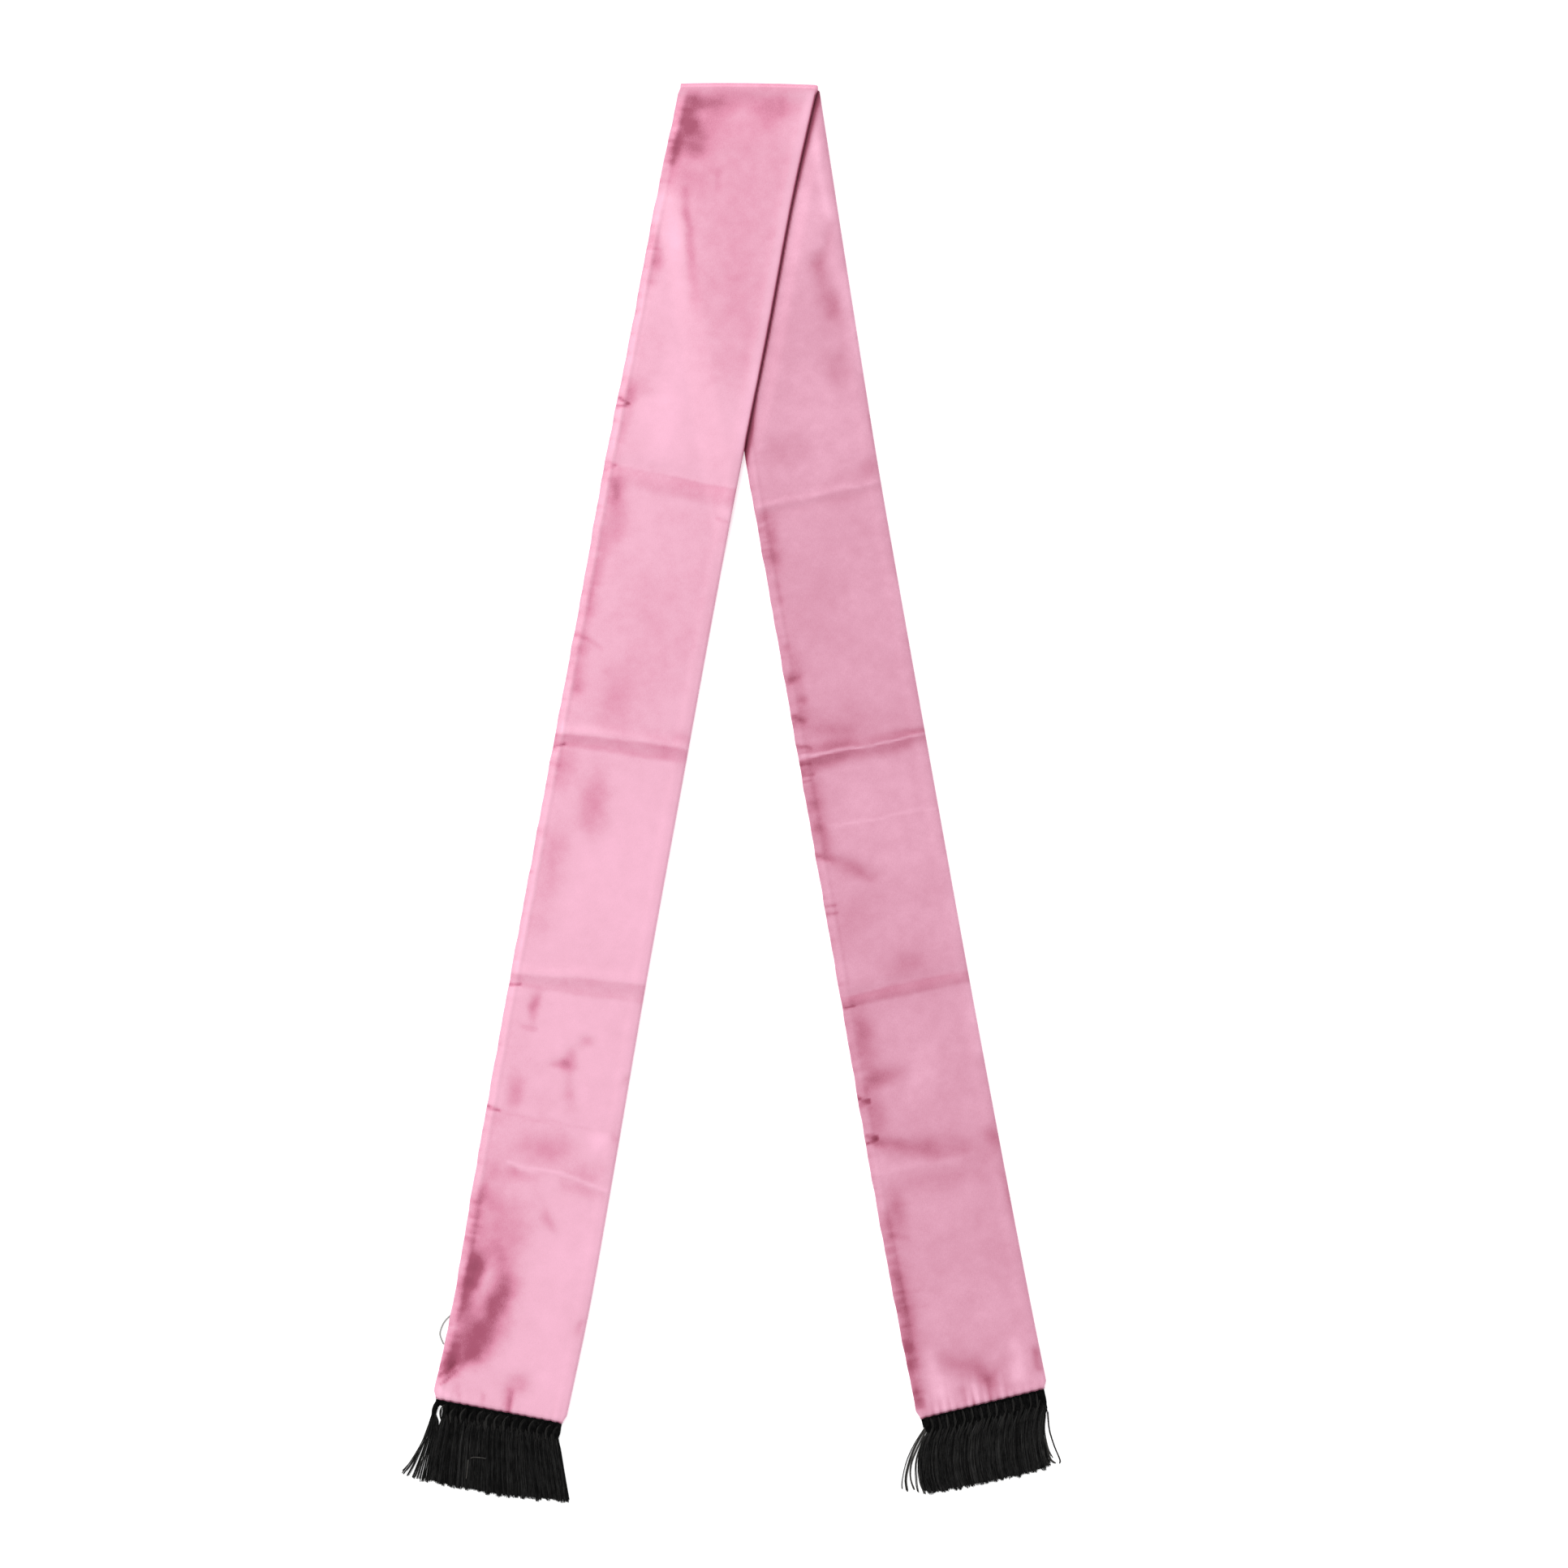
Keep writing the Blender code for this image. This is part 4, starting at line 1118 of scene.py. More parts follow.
class FrontTail(Tail):
    """The stretch on top: a short run tucked under the neck, the bend, and the front tail."""

    # Painted shade on the tucked rows, to match the back tail's shaded copy, with a painted shadow at the
    # upper stretch's edge; and painted shade along the neck bend, deepest at its edge
    TUCK_PAINTED_SHADE = 0.30
    TUCK_PAINTED_SHADOW = 1.6
    TUCK_SHADE = 2.4
    BEND_PAINTED_SHADE = 0.4
    BEND_SHADE = 0.5
    BEND_PAINTED_BASE = 0.26
    PARTING = (214.0, 236.0)

    def edge_shade(self, off: Array) -> Array:
        """The painted shadow at the folded edge on the other stretch, and the painted highlight beside it.
        """
        return 1.7 * bell(off, 0.75) - 0.30 * bell(off + 3.4, 2.2)

    def build(self) -> bpy.types.Object:
        """Makes the shell, with its outer ply on top beyond the bend."""
        across, level = self.ring(top_is_outer=True)
        outer = LIE.bend_outer
        points, tones = [], []
        for down in np.linspace(SHELL.joint, outer, 3)[:-1]:
            at = np.full_like(across, down)
            x, y, _ = BACK_OUTLINE.place(at, at, across)
            points.append(np.stack([x, y, level * LIE.tube], axis=-1))
            tones.append(self.TUCK_PAINTED_SHADE + self.TUCK_PAINTED_SHADOW * bell(off_front_edge(x, at), self.TUCK_SHADE))
        neck = self.outline.rows[0]
        x = blend(neck.left_x, neck.right_x, across)
        reach = outer - level * LIE.tube
        for angle in np.linspace(0.0, math.pi, SHELL.bend_rows):
            y = self.outline.neck_line(x) - outer + reach * math.sin(angle)
            points.append(np.stack([x, y, outer - reach * math.cos(angle)], axis=-1))
            turned = float(bell(angle - 0.5 * math.pi, self.BEND_SHADE))
            tones.append(np.full_like(across, self.BEND_PAINTED_BASE + self.BEND_PAINTED_SHADE * turned))
        x, y, down, shares, tone, relief = self.grid(across, 0.5 * LIE.bend_settles)
        height = self.tube_height(relief * ease(outer, LIE.crown_full, down), down, shares)
        z = front_rest_height(x, down) + height * (1 - level)
        tone = self.both_plies(x, y, tone, 1 - ease(*SHELL.ply_turns, level))
        # Painted shadow along the folded edge over the back tail, with a painted highlight beside it, until
        # the tails part
        tone = tone + self.edge_shade(off_front_edge(x, down)) * (1 - ease(*self.PARTING, down))
        rows = np.concatenate([np.array(points), np.stack([x, y, z], axis=-1)])
        return self.finished(rows, np.concatenate([np.array(tones), tone]), LIT_FRONT_SATIN)


class BackTail(Tail):
    """The stretch beneath, whose outer ply lies on the ground."""

    # How wide the painted shadow in the slit beside the upper stretch's edge is, by the level, in mm
    SLIT_SHADOW_WIDTHS = ((0.0, 3.0), (25.0, 2.9), (45.0, 2.2), (80.0, 1.3), (192.0, 1.2), (206.0, 2.2), (212.0, 3.0))
    SLIT_PAINTED_SHADOW = 2.1
    SLIT_ENDS = 245.0
    COVERED_ENDS = 300.0

    def build(self) -> bpy.types.Object:
        """Makes the shell, flat where the front stretch lies on it."""
        across, level = self.ring(top_is_outer=False)
        x, y, down, shares, tone, relief = self.grid(across, SHELL.joint)
        off = off_front_edge(x, down)
        free = ease(LIE.clear_starts, LIE.clear_ends, off) * ease(LIE.tuck, LIE.tuck + LIE.clear_ends, down)
        height = self.tube_height(relief * free, down, shares)
        covered = (down < self.COVERED_ENDS) & (off < 0)
        height = np.where(covered, np.minimum(height, LIE.tube), height)
        # A painted shadow in the slit beside the upper stretch's folded edge
        slit_shadow = bell(np.maximum(off, 0.0), np.interp(down, *zip(*self.SLIT_SHADOW_WIDTHS))) * (down < self.SLIT_ENDS)
        tone = self.both_plies(x, y, tone + self.SLIT_PAINTED_SHADOW * slit_shadow, ease(*SHELL.ply_turns, level))
        return self.finished(np.stack([x, y, height * level], axis=-1), tone, SHADED_BACK_SATIN)


class Guide(NamedTuple):
    """One line that strands follow: its points, how they spread, rise and thicken at each, and its shade
    from dark to pale, which on the knots' arcs is a painted highlight.
    """

    points: list[Vector]
    spread: list[float]
    loft: list[float]
    thick: list[float]
    shade: float


class StrandTree(Tree):
    """Geometry nodes that grow strands of thread along guide lines."""

    INPUTS = (
        ("Geometry", "NodeSocketGeometry"), ("Strands", "NodeSocketInt"),
        ("Strand Radius", "NodeSocketFloat"),
        ("Sides", "NodeSocketInt"), ("Ragged", "NodeSocketFloat"), ("Waver", "NodeSocketFloat"),
        ("Tint Spread", "NodeSocketFloat"), ("Across", "NodeSocketVector"), ("Seed", "NodeSocketInt"),
        ("Thread", "NodeSocketMaterial"),
    )
    # How fast a strand's waver swings along it, and how far apart two strands' swings can start
    WAVES = 9.0
    PHASE = 6.28

    def __init__(self) -> None:
        """Writes the tree: copies of each guide, offset, trimmed and made into tubes."""
        super().__init__(bpy.data.node_groups.new("strands", "GeometryNodeTree"))
        face = self.tree.interface
        for name, kind in self.INPUTS:
            face.new_socket(name, in_out="INPUT", socket_type=kind)
        face.new_socket("Geometry", in_out="OUTPUT", socket_type="NodeSocketGeometry")
        given = self.node("NodeGroupInput").outputs
        seed = given["Seed"]
        side = self.strand_random(seed, 0, -1.0)
        rise, cut, phase, hue = (self.strand_random(seed, salt, 0.0) for salt in (1, 2, 3, 4))
        run = self.value("GeometryNodeSplineParameter", "Factor")
        wave = (run * self.WAVES + phase * self.PHASE).sine() * run * Value(self, given["Waver"])
        sideways = {"Vector": given["Across"], "Scale": self.named("spread") * side + wave}
        across = self.out("ShaderNodeVectorMath", "Vector", {"operation": "SCALE"}, sideways)
        up = self.out("ShaderNodeCombineXYZ", "Vector", None, {"Z": self.named("loft") * rise})
        moves = {"Vector": across, "Vector_001": up}
        offset = self.out("ShaderNodeVectorMath", "Vector", {"operation": "ADD"}, moves)
        curves = self.out("GeometryNodeMeshToCurve", "Curve", None, {"Mesh": given["Geometry"]})
        copies = {"Geometry": curves, "Amount": given["Strands"]}
        strands = self.out("GeometryNodeDuplicateElements", "Geometry", {"domain": "SPLINE"}, copies)
        moved = {"Geometry": strands, "Offset": offset}
        strands = self.out("GeometryNodeSetPosition", "Geometry", None, moved)
        # Each strand's shade from dark to pale, which on the knots' arcs is a painted highlight
        tint_and_highlight = self.named("shade") + (hue - 0.5) * Value(self, given["Tint Spread"])
        on_points = {"data_type": "FLOAT", "domain": "POINT"}
        for name, number in (("tint_and_highlight", tint_and_highlight), ("run", run)):
            kept = {"Geometry": strands, "Name": name, "Value": number}
            strands = self.out("GeometryNodeStoreNamedAttribute", "Geometry", on_points, kept)
        ends = {"Curve": strands, "End": 1.0 - cut * Value(self, given["Ragged"])}
        trimmed = self.out("GeometryNodeTrimCurve", "Curve", {"mode": "FACTOR"}, ends)
        sizes = {"Resolution": given["Sides"], "Radius": given["Strand Radius"]}
        profile = self.out("GeometryNodeCurvePrimitiveCircle", "Curve", None, sizes)
        sweep = {"Curve": trimmed, "Profile Curve": profile, "Scale": self.named("thick"), "Fill Caps": True}
        made = self.out("GeometryNodeCurveToMesh", "Mesh", None, sweep)
        made = self.out("GeometryNodeSetShadeSmooth", "Geometry", None, {"Geometry": made})
        made = self.out("GeometryNodeRealizeInstances", "Geometry", None, {"Geometry": made})
        dress = {"Geometry": made, "Material": given["Thread"]}
        made = self.out("GeometryNodeSetMaterial", "Geometry", None, dress)
        self.tree.links.new(made, self.node("NodeGroupOutput").inputs["Geometry"])

    def named(self, name: str) -> Value:
        """A number kept on the guides' points."""
        settings = {"data_type": "FLOAT"}
        return self.value("GeometryNodeInputNamedAttribute", "Attribute", settings, {"Name": name})

    def strand_random(self, seed: Socket, salt: int, low: float) -> Value:
        """A random number from low to 1 for each strand, which its salt sets apart from the others."""
        index = self.out("GeometryNodeInputIndex", "Index")
        inputs = {"Min_001": low, "Max_001": 1.0, "ID": index, "Seed": Value(self, seed) + float(salt)}
        drawn = self.value("FunctionNodeRandomValue", "Value_001", {"data_type": "FLOAT"}, inputs)
        settings = {"domain": "CURVE", "data_type": "FLOAT"}
        return self.value("GeometryNodeFieldOnDomain", "Value", settings, {"Value": drawn})

    def grow(self, name: str, guides: list[Guide], values: dict) -> bpy.types.Object:
        """Grows strands on guides.

        Args:
            name: The piece's name.
            guides: The lines to follow, in mm.
            values: The tree's inputs by name.

        Returns:
            The piece, as a plain mesh.
        """
        mesh = bpy.data.meshes.new(name)
        points, edges = [], []
        for guide in guides:
            edges += [(len(points) + i, len(points) + i + 1) for i in range(len(guide.points) - 1)]
            points += [tuple(point * MM) for point in guide.points]
        mesh.from_pydata(points, edges, [])
        for kind, scale in (("spread", MM), ("loft", MM), ("thick", 1.0)):
            numbers = [number * scale for guide in guides for number in getattr(guide, kind)]
            point_numbers(mesh, kind, numbers)
        point_numbers(mesh, "shade", [guide.shade for guide in guides for _ in guide.points])
        item = add_object(name, mesh)
        modifier = item.modifiers.new("strands", "NODES")
        modifier.node_group = self.tree
        for socket in self.tree.interface.items_tree:
            if socket.in_out == "INPUT" and socket.name in values:
                modifier[socket.identifier] = values[socket.name]
        graph = bpy.context.evaluated_depsgraph_get()
        grown = bpy.data.meshes.new_from_object(item.evaluated_get(graph), depsgraph=graph)
        item.modifiers.remove(modifier)
        item.data = grown
        grown.name = name
        for kind in ("spread", "loft", "thick", "shade"):
            if kind in grown.attributes:
                grown.attributes.remove(grown.attributes[kind])
        return item


class Wisp(NamedTuple):
    """A few threads that leave the fringe, through ground points in mm."""

    points: tuple[tuple[float, float], ...]
    strands: int
    spread: float
    height: float = 0.5
    shade: float = 0.35


class Bow(NamedTuple):
    """How one knotted bundle leans aside, which opens a gap beside it, in mm."""

    number: int
    aside: float
    ends: float


class Arc(NamedTuple):
    """A strand round each knot, painted paler as a highlight: its (below in mm, share of a pitch aside)
    points, and its height.
    """

    places: tuple[tuple[float, float], ...]
    height: float
    shade: float = 1.0
    thick: float = 1.0


class Fade(NamedTuple):
    """A number that goes softly from one to another between two places below the hem, in mm."""

    start: float
    end: float
    top: float
    bottom: float

    def at(self, below: float) -> float:
        """The number at a place below the hem."""
        return float(blend(self.start, self.end, ease(self.top, self.bottom, below)))


@dataclass(frozen=True)
class FringeStyle:
    """Sizes of a knotted fringe, in mm."""

    bundles: int = 15
    inset: float = 2.4
    heading_gap: float = -0.2
    heading_depth: float = 1.9
    bead_strands: int = 9
    bead_radius: float = 0.32
    bead_starts: float = 1.2
    bead_points: int = 15
    bead_rises: float = 0.4
    knot_ends: float = 14.0
    knot_share: float = 0.3
    arc_points: int = 9
    backing_starts: float = 0.8
    backing_points: int = 5
    leaning_plump: float = 0.72
    backing_step: float = 0.4
    mat_step: float = 0.5
    mat_starts: float = 8.5
    mat_short: float = 1.3
    mat_points: int = 10
    side_ends: float = 5.0
    side_slope: float = 3.2
    arc_strands: int = 3
    arc_spread: float = 0.34
    backing_ends: float = 14.5
    lanes: int = 10
    strands_a_lane: int = 9
    thread_radius: float = 0.19
    thread_starts: float = 8.5
    flare_below: float = 9.5
    thread_points: int = 13
    clump: float = 0.9
    clump_size: float = 1.5
    bare_bow: float = 0.6
    heading_sections: int = 340
    heading_sides: int = 10
    cord_pitch: float = 1.15
    mat_height: float = 0.36
    wisp_points: int = 14
    wisp_radius: float = 0.3
    loose_radius: float = 0.5
    cord_swell: float = 0.06
    heading_sway: float = 0.12
    heading_rises: float = 0.85
    heading_half_height: float = 0.6
    bead_taper: Fade = Fade(1.0, 0.6, 9.0, 13.0)
    thread_height: Fade = Fade(0.55, 0.28, 8.0, 16.0)
    thread_spread: Fade = Fade(0.3, 0.85, 8.0, 22.0)
    thread_loft: Fade = Fade(1.1, 0.75, 8.0, 30.0)
    thread_stray: float = 0.35
    thread_swing: float = 0.3
    arc_stray: float = 0.05
    arc_drop: float = 0.35
    arc_lag: float = 0.3
    arc_fall: float = 0.12
    arc_margin: float = 0.6
    backing_stray: float = 0.05
    plump: tuple[float, float] = (0.88, 1.08)
    bead_shade: tuple[float, float] = (0.0, 0.08)
    # How strongly each arc and each of its strands is painted pale as a highlight
    arc_shade: tuple[float, float] = (0.6, 1.0)
    arc_strand_shade: tuple[float, float] = (0.4, 1.0)
    backing_height: tuple[float, float] = (0.35, 0.8)
    backing_shade: tuple[float, float] = (0.0, 0.12)
    mat_shade: tuple[float, float] = (0.0, 0.15)
    thread_shade: tuple[float, float] = (0.0, 0.3)


STYLE = FringeStyle()


@dataclass
class Fringe:
    """One knotted fringe: a heading, knots, hanging threads and the wisps that leave them.

    Attributes:
        name: The CAD node's name.
        outline: The stretch that it is sewn to.
        sweeps: How its threads hang from left to right.
        arcs: The strands round each knot, painted paler as highlights.
        shifts: How far aside the knots lie from even places, by the knot's number, in mm.
        bows: Bundles that lean aside.
        bare: From where to where along the heading nothing lies behind the knots, in mm.
        wisps: Threads that leave the fringe.
        seed: Seed of its uneven lengths and places.
    """

    name: str
    outline: Outline
    sweeps: tuple[Sweep, ...]
    arcs: tuple[Arc, ...]
    shifts: tuple[tuple[float, float], ...]
    bows: tuple[Bow, ...]
    bare: tuple[float, float]
    wisps: tuple[Wisp, ...]
    seed: int

    # Below the hem in mm: a bead's half width in shares of a pitch, and its height in mm
    BEAD_WIDTH = ((1.0, 0.14), (2.2, 0.26), (4.0, 0.35), (6.5, 0.36), (9.0, 0.28), (11.0, 0.2), (14.0, 0.45))
    BEAD_HEIGHT = ((1.0, 1.0), (3.0, 1.7), (5.0, 2.0), (8.0, 1.9), (10.5, 1.3), (14.0, 0.8))

    def __post_init__(self) -> None:
        """Finds the fringe's own frame from the hem that it is sewn to."""
        self.random = np.random.default_rng(self.seed)
        hem = np.array(self.outline.hem_left_down), np.array(self.outline.hem_right_down)
        corners = [self.outline.place(*hem, np.array(share)) for share in (0.0, 1.0)]
        start, end = (Vector((float(x), float(y), 0.0)) for x, y, _ in corners)
        self.along_hem = (end - start).normalized()
        self.away = Vector((self.along_hem.y, -self.along_hem.x, 0.0))
        self.start = start + self.along_hem * STYLE.inset
        self.width = (end - start).length - 2 * STYLE.inset
        self.pitch = self.width / STYLE.bundles

    def draw(self, low: float, high: float) -> float:
        """The next random number between two."""
        return float(self.random.uniform(low, high))

    def stray(self, spread: float) -> float:
        """The next random number around 0."""
        return float(self.random.normal(0.0, spread))

    def point(self, along: float, below: float, height: float) -> Vector:
        """The point so many mm along the heading, below the hem and above the ground."""
        return self.start + self.along_hem * along + self.away * below + Vector((0.0, 0.0, height))

    def sweep(self, share: float) -> Sweep:
        """How a thread at this share of the heading's width hangs."""
        places, *columns = zip(*self.sweeps)
        return Sweep(share, *(float(np.interp(share, places, column)) for column in columns))

    def bow(self, number: int, below: float) -> float:
        """How far aside a bundle leans at a place below the hem."""
        for bow in self.bows:
            if bow.number == number:
                return bow.aside * math.sin(math.pi * min(1.0, max(0.0, below / bow.ends)))
        return 0.0

    def knot_centre(self, number: int, below: float) -> float:
        """Where the middle of one bundle's knot lies along the heading."""
        shift = float(np.interp(number, *zip(*self.shifts)))
        return (number + 0.5) * self.pitch + shift + self.bow(number, below)

    def heading(self) -> bpy.types.Object:
        """The corded strip that is sewn under the hem."""
        sections, sides = STYLE.heading_sections, STYLE.heading_sides
        middle, half = STYLE.heading_gap + 0.5 * STYLE.heading_depth, 0.5 * STYLE.heading_depth
        points = []
        for along in (self.width * i / sections for i in range(sections + 1)):
            cord = 1.0 + STYLE.cord_swell * math.sin(math.tau * along / STYLE.cord_pitch)
            drawn = STYLE.heading_sway * math.sin(math.tau * along / self.pitch + 0.7)
            for angle in (math.tau * k / sides for k in range(sides)):
                below = middle + drawn + half * cord * math.cos(angle)
                height = STYLE.heading_rises + STYLE.heading_half_height * cord * math.sin(angle)
                points.append(tuple(self.point(along, below, height) * MM))
        faces = tube_faces(sections + 1, sides)[:, [0, 3, 2, 1]].tolist()
        first, last = list(range(sides)), list(range(sections * sides, len(points)))
        mesh = bpy.data.meshes.new(f"{self.name}_heading")
        mesh.from_pydata(points, [], [*faces, first[::-1], last])
        mesh.shade_smooth()
        mesh.attributes.new("tint_and_highlight", "FLOAT", "POINT")
        mesh.materials.append(KNOT_THREAD.material())
        return add_object(mesh.name, mesh)

    def even(self, points: list[Vector], thick: list[float], shade: float) -> Guide:
        """A guide for a single strand that keeps to its points."""
        still = [0.0] * len(points)
        return Guide(points, still, still, thick, shade)

    def bead_guides(self) -> list[Guide]:
        """Guides for the thick dark strands of every knot, rounded over like a bead."""
        guides = []
        levels = np.linspace(STYLE.bead_starts, STYLE.knot_ends, STYLE.bead_points)
        for number in range(STYLE.bundles):
            plump = self.draw(*STYLE.plump) * (STYLE.leaning_plump if self.bow(number, 1.0) else 1.0)
            for side in (2 * k / (STYLE.bead_strands - 1) - 1 for k in range(STYLE.bead_strands)):
                domed = math.sqrt(1 - 0.8 * side * side)
                points = []
                for below in levels:
                    wide = float(np.interp(below, *zip(*self.BEAD_WIDTH))) * self.pitch * plump
                    tall = float(np.interp(below, *zip(*self.BEAD_HEIGHT)))
                    along = self.knot_centre(number, below) + wide * side
                    height = STYLE.bead_rises + (tall - STYLE.bead_rises) * domed
                    points.append(self.point(along, below, height))
                thick = [STYLE.bead_taper.at(below) for below in levels]
                guides.append(self.even(points, thick, self.draw(*STYLE.bead_shade)))
        return guides

    def arc_guides(self) -> list[Guide]:
        """Guides for the strands that cross and frame the knots, painted paler as highlights."""
        guides = []
        for number in range(STYLE.bundles):
            if abs(self.bow(number, STYLE.flare_below)) > STYLE.bare_bow:
                continue
            for arc in self.arcs:
                belows, shares = (np.array(axis, float) for axis in zip(*arc.places))
                aside, drop = self.stray(STYLE.arc_stray), self.stray(STYLE.arc_drop)
                shade = arc.shade * self.draw(*STYLE.arc_shade)
                at = np.linspace(belows[0], belows[-1], STYLE.arc_points)
                across = curve_through(belows, shares, at)
                reach = self.knot_centre(number, STYLE.flare_below) + max(shares) * self.pitch
                if reach > self.width - STYLE.arc_margin:
                    continue
                swell = np.sin(np.linspace(0.0, math.pi, len(at)))
                for off in (strand - 0.5 * (STYLE.arc_strands - 1) for strand in range(STYLE.arc_strands)):
                    slip, lag = off * STYLE.arc_spread * arc.thick, self.stray(STYLE.arc_lag)
                    height = arc.height - STYLE.arc_fall * off**2
                    points = []
                    for below, share, full in zip(at, across, swell):
                        along = self.knot_centre(number, below) + (share + aside) * self.pitch
                        along += slip * (0.5 + 0.5 * full)
                        points.append(self.point(along, below + drop + lag, height))
                    taper = [arc.thick * (0.3 + 0.3 * float(full)) for full in swell]
                    guides.append(self.even(points, taper, shade * self.draw(*STYLE.arc_strand_shade)))
        return guides

    def backing_guides(self) -> list[Guide]:
        """Guides for the dark strands that lie close together behind the knots."""
        guides = []
        bare_middle, bare_half = 0.5 * (self.bare[0] + self.bare[1]), 0.5 * (self.bare[1] - self.bare[0])
        for along in np.arange(0.3, self.width, STYLE.backing_step):
            off_bare = abs(along - bare_middle) / bare_half
            ends = STYLE.backing_ends if off_bare > 1 else 3.4 + 3.0 * off_bare**3
            ends = min(ends, STYLE.side_ends + STYLE.side_slope * min(along, self.width - along))
            aside = along + self.stray(STYLE.backing_stray)
            levels = np.linspace(STYLE.backing_starts, ends, STYLE.backing_points)
            points = [self.point(aside, below, self.draw(*STYLE.backing_height)) for below in levels]
            guides.append(self.even(points, [1.0] * len(points), self.draw(*STYLE.backing_shade)))
        return guides

    def mat_guides(self) -> list[Guide]:
        """Guides for the thick dark threads that lie evenly under the others, down to near their ends."""
        guides = []
        for place in np.arange(0.2, self.width, STYLE.mat_step):
            number = min(int(place / self.pitch), STYLE.bundles - 1)
            sweep = self.sweep(place / self.width)
            points = []
            for below in np.linspace(STYLE.mat_starts, sweep.length - STYLE.mat_short, STYLE.mat_points):
                along = self.hang(number, float(place), below, self.drift(sweep, below))
                points.append(self.point(along, below, STYLE.mat_height))
            guides.append(self.even(points, [1.0] * len(points), self.draw(*STYLE.mat_shade)))
        return guides

    def hang(self, number: int, place: float, below: float, drift: float) -> float:
        """Where along the heading a thread lies: drawn together in its knot, and swept aside below."""
        neck = self.knot_centre(number, below) + STYLE.knot_share * (place - (number + 0.5) * self.pitch)
        free = place + drift + self.bow(number, below)
        return blend(neck, free, float(ease(STYLE.thread_starts, STYLE.knot_ends, below)))

    def fallen(self, sweep: Sweep, below: float) -> float:
        """What share of its hanging length a thread has come down at a place below the hem."""
        return min(1.0, max(0.0, (below - STYLE.flare_below) / (sweep.length - STYLE.flare_below)))

    def drift(self, sweep: Sweep, below: float) -> float:
        """How far aside a thread has swept at a place below the hem."""
        t = self.fallen(sweep, below)
        bulge = sweep.drift_half - 0.25 * sweep.drift_end
        return sweep.drift_end * t**2 + bulge * 4 * t * (1 - t)

    def thread_guides(self) -> list[Guide]:
        """Guides for the hanging threads: lanes that fan out of each knot and sweep to their ends."""
        guides = []
        for number in range(STYLE.bundles):
            for lane in range(STYLE.lanes):
                place = (number + 0.5) * self.pitch + 0.5 * self.pitch * (2 * (lane + 0.5) / STYLE.lanes - 1)
                sweep = self.sweep(place / self.width)
                lump = soft_noise(np.array(place), np.array(0.0), STYLE.clump_size, self.seed)
                end = sweep.length + STYLE.clump * float(lump) + self.stray(STYLE.thread_stray)
                swing = self.stray(STYLE.thread_swing)
                points, spread, loft, thick = [], [], [], []
                for below in np.linspace(STYLE.thread_starts, end, STYLE.thread_points):
                    t = self.fallen(sweep, below)
                    along = self.hang(number, place, below, self.drift(sweep, below) + swing * t)
                    points.append(self.point(along, below, STYLE.thread_height.at(below)))
                    spread.append(STYLE.thread_spread.at(below))
                    loft.append(STYLE.thread_loft.at(below))
                    thick.append(float(blend(1.0, 0.8, t)))
                guides.append(Guide(points, spread, loft, thick, self.draw(*STYLE.thread_shade)))
        return guides

    def wisp_guides(self, wisps: tuple[Wisp, ...]) -> list[Guide]:
        """Guides for the threads that leave the fringe, smooth through their points."""
        guides = []
        count = STYLE.wisp_points
        at = np.linspace(0.0, 1.0, count)
        for wisp in wisps:
            marks = np.linspace(0.0, 1.0, len(wisp.points))
            x, y = (curve_through(marks, np.array(axis, float), at) for axis in zip(*wisp.points))
            for _ in range(wisp.strands):
                side, fan = wisp.spread * self.draw(-1, 1), wisp.spread * self.draw(-1, 1)
                points = [Vector((px + side + fan * t, py, wisp.height)) for px, py, t in zip(x, y, at)]
                guides.append(Guide(points, [0.05] * count, [0.2] * count, [1.0] * count, wisp.shade))
        return guides

    def build(self, strands: StrandTree) -> list[bpy.types.Object]:
        """Makes the fringe's pieces.

        Args:
            strands: The geometry nodes that grow the threads.

        Returns:
            The heading, the knots, the threads and the wisps.
        """
        common = {"Across": self.along_hem, "Seed": self.seed, "Tint Spread": 0.7}
        knots = strands.grow(
            f"{self.name}_knots",
            self.backing_guides() + self.mat_guides() + self.bead_guides() + self.arc_guides(),
            {
                **common, "Strands": 1, "Strand Radius": STYLE.bead_radius * MM, "Sides": 6, "Ragged": 0.0,
                "Waver": 0.0, "Tint Spread": 0.1, "Thread": KNOT_THREAD.material(),
            },
        )
        threads = strands.grow(
            f"{self.name}_threads",
            self.thread_guides(),
            {
                **common, "Strands": STYLE.strands_a_lane, "Strand Radius": STYLE.thread_radius * MM,
                "Sides": 3, "Ragged": 0.03, "Waver": 0.22 * MM, "Thread": BLACK_THREAD.material(),
            },
        )
        pieces = [self.heading(), knots, threads]
        wisps = strands.grow(
            f"{self.name}_wisps",
            self.wisp_guides(self.wisps),
            {
                **common, "Strands": 1, "Strand Radius": STYLE.wisp_radius * MM, "Sides": 4, "Ragged": 0.05,
                "Waver": 0.1 * MM, "Thread": STRAY_THREAD.material(),
            },
        )
        return [*pieces, wisps]


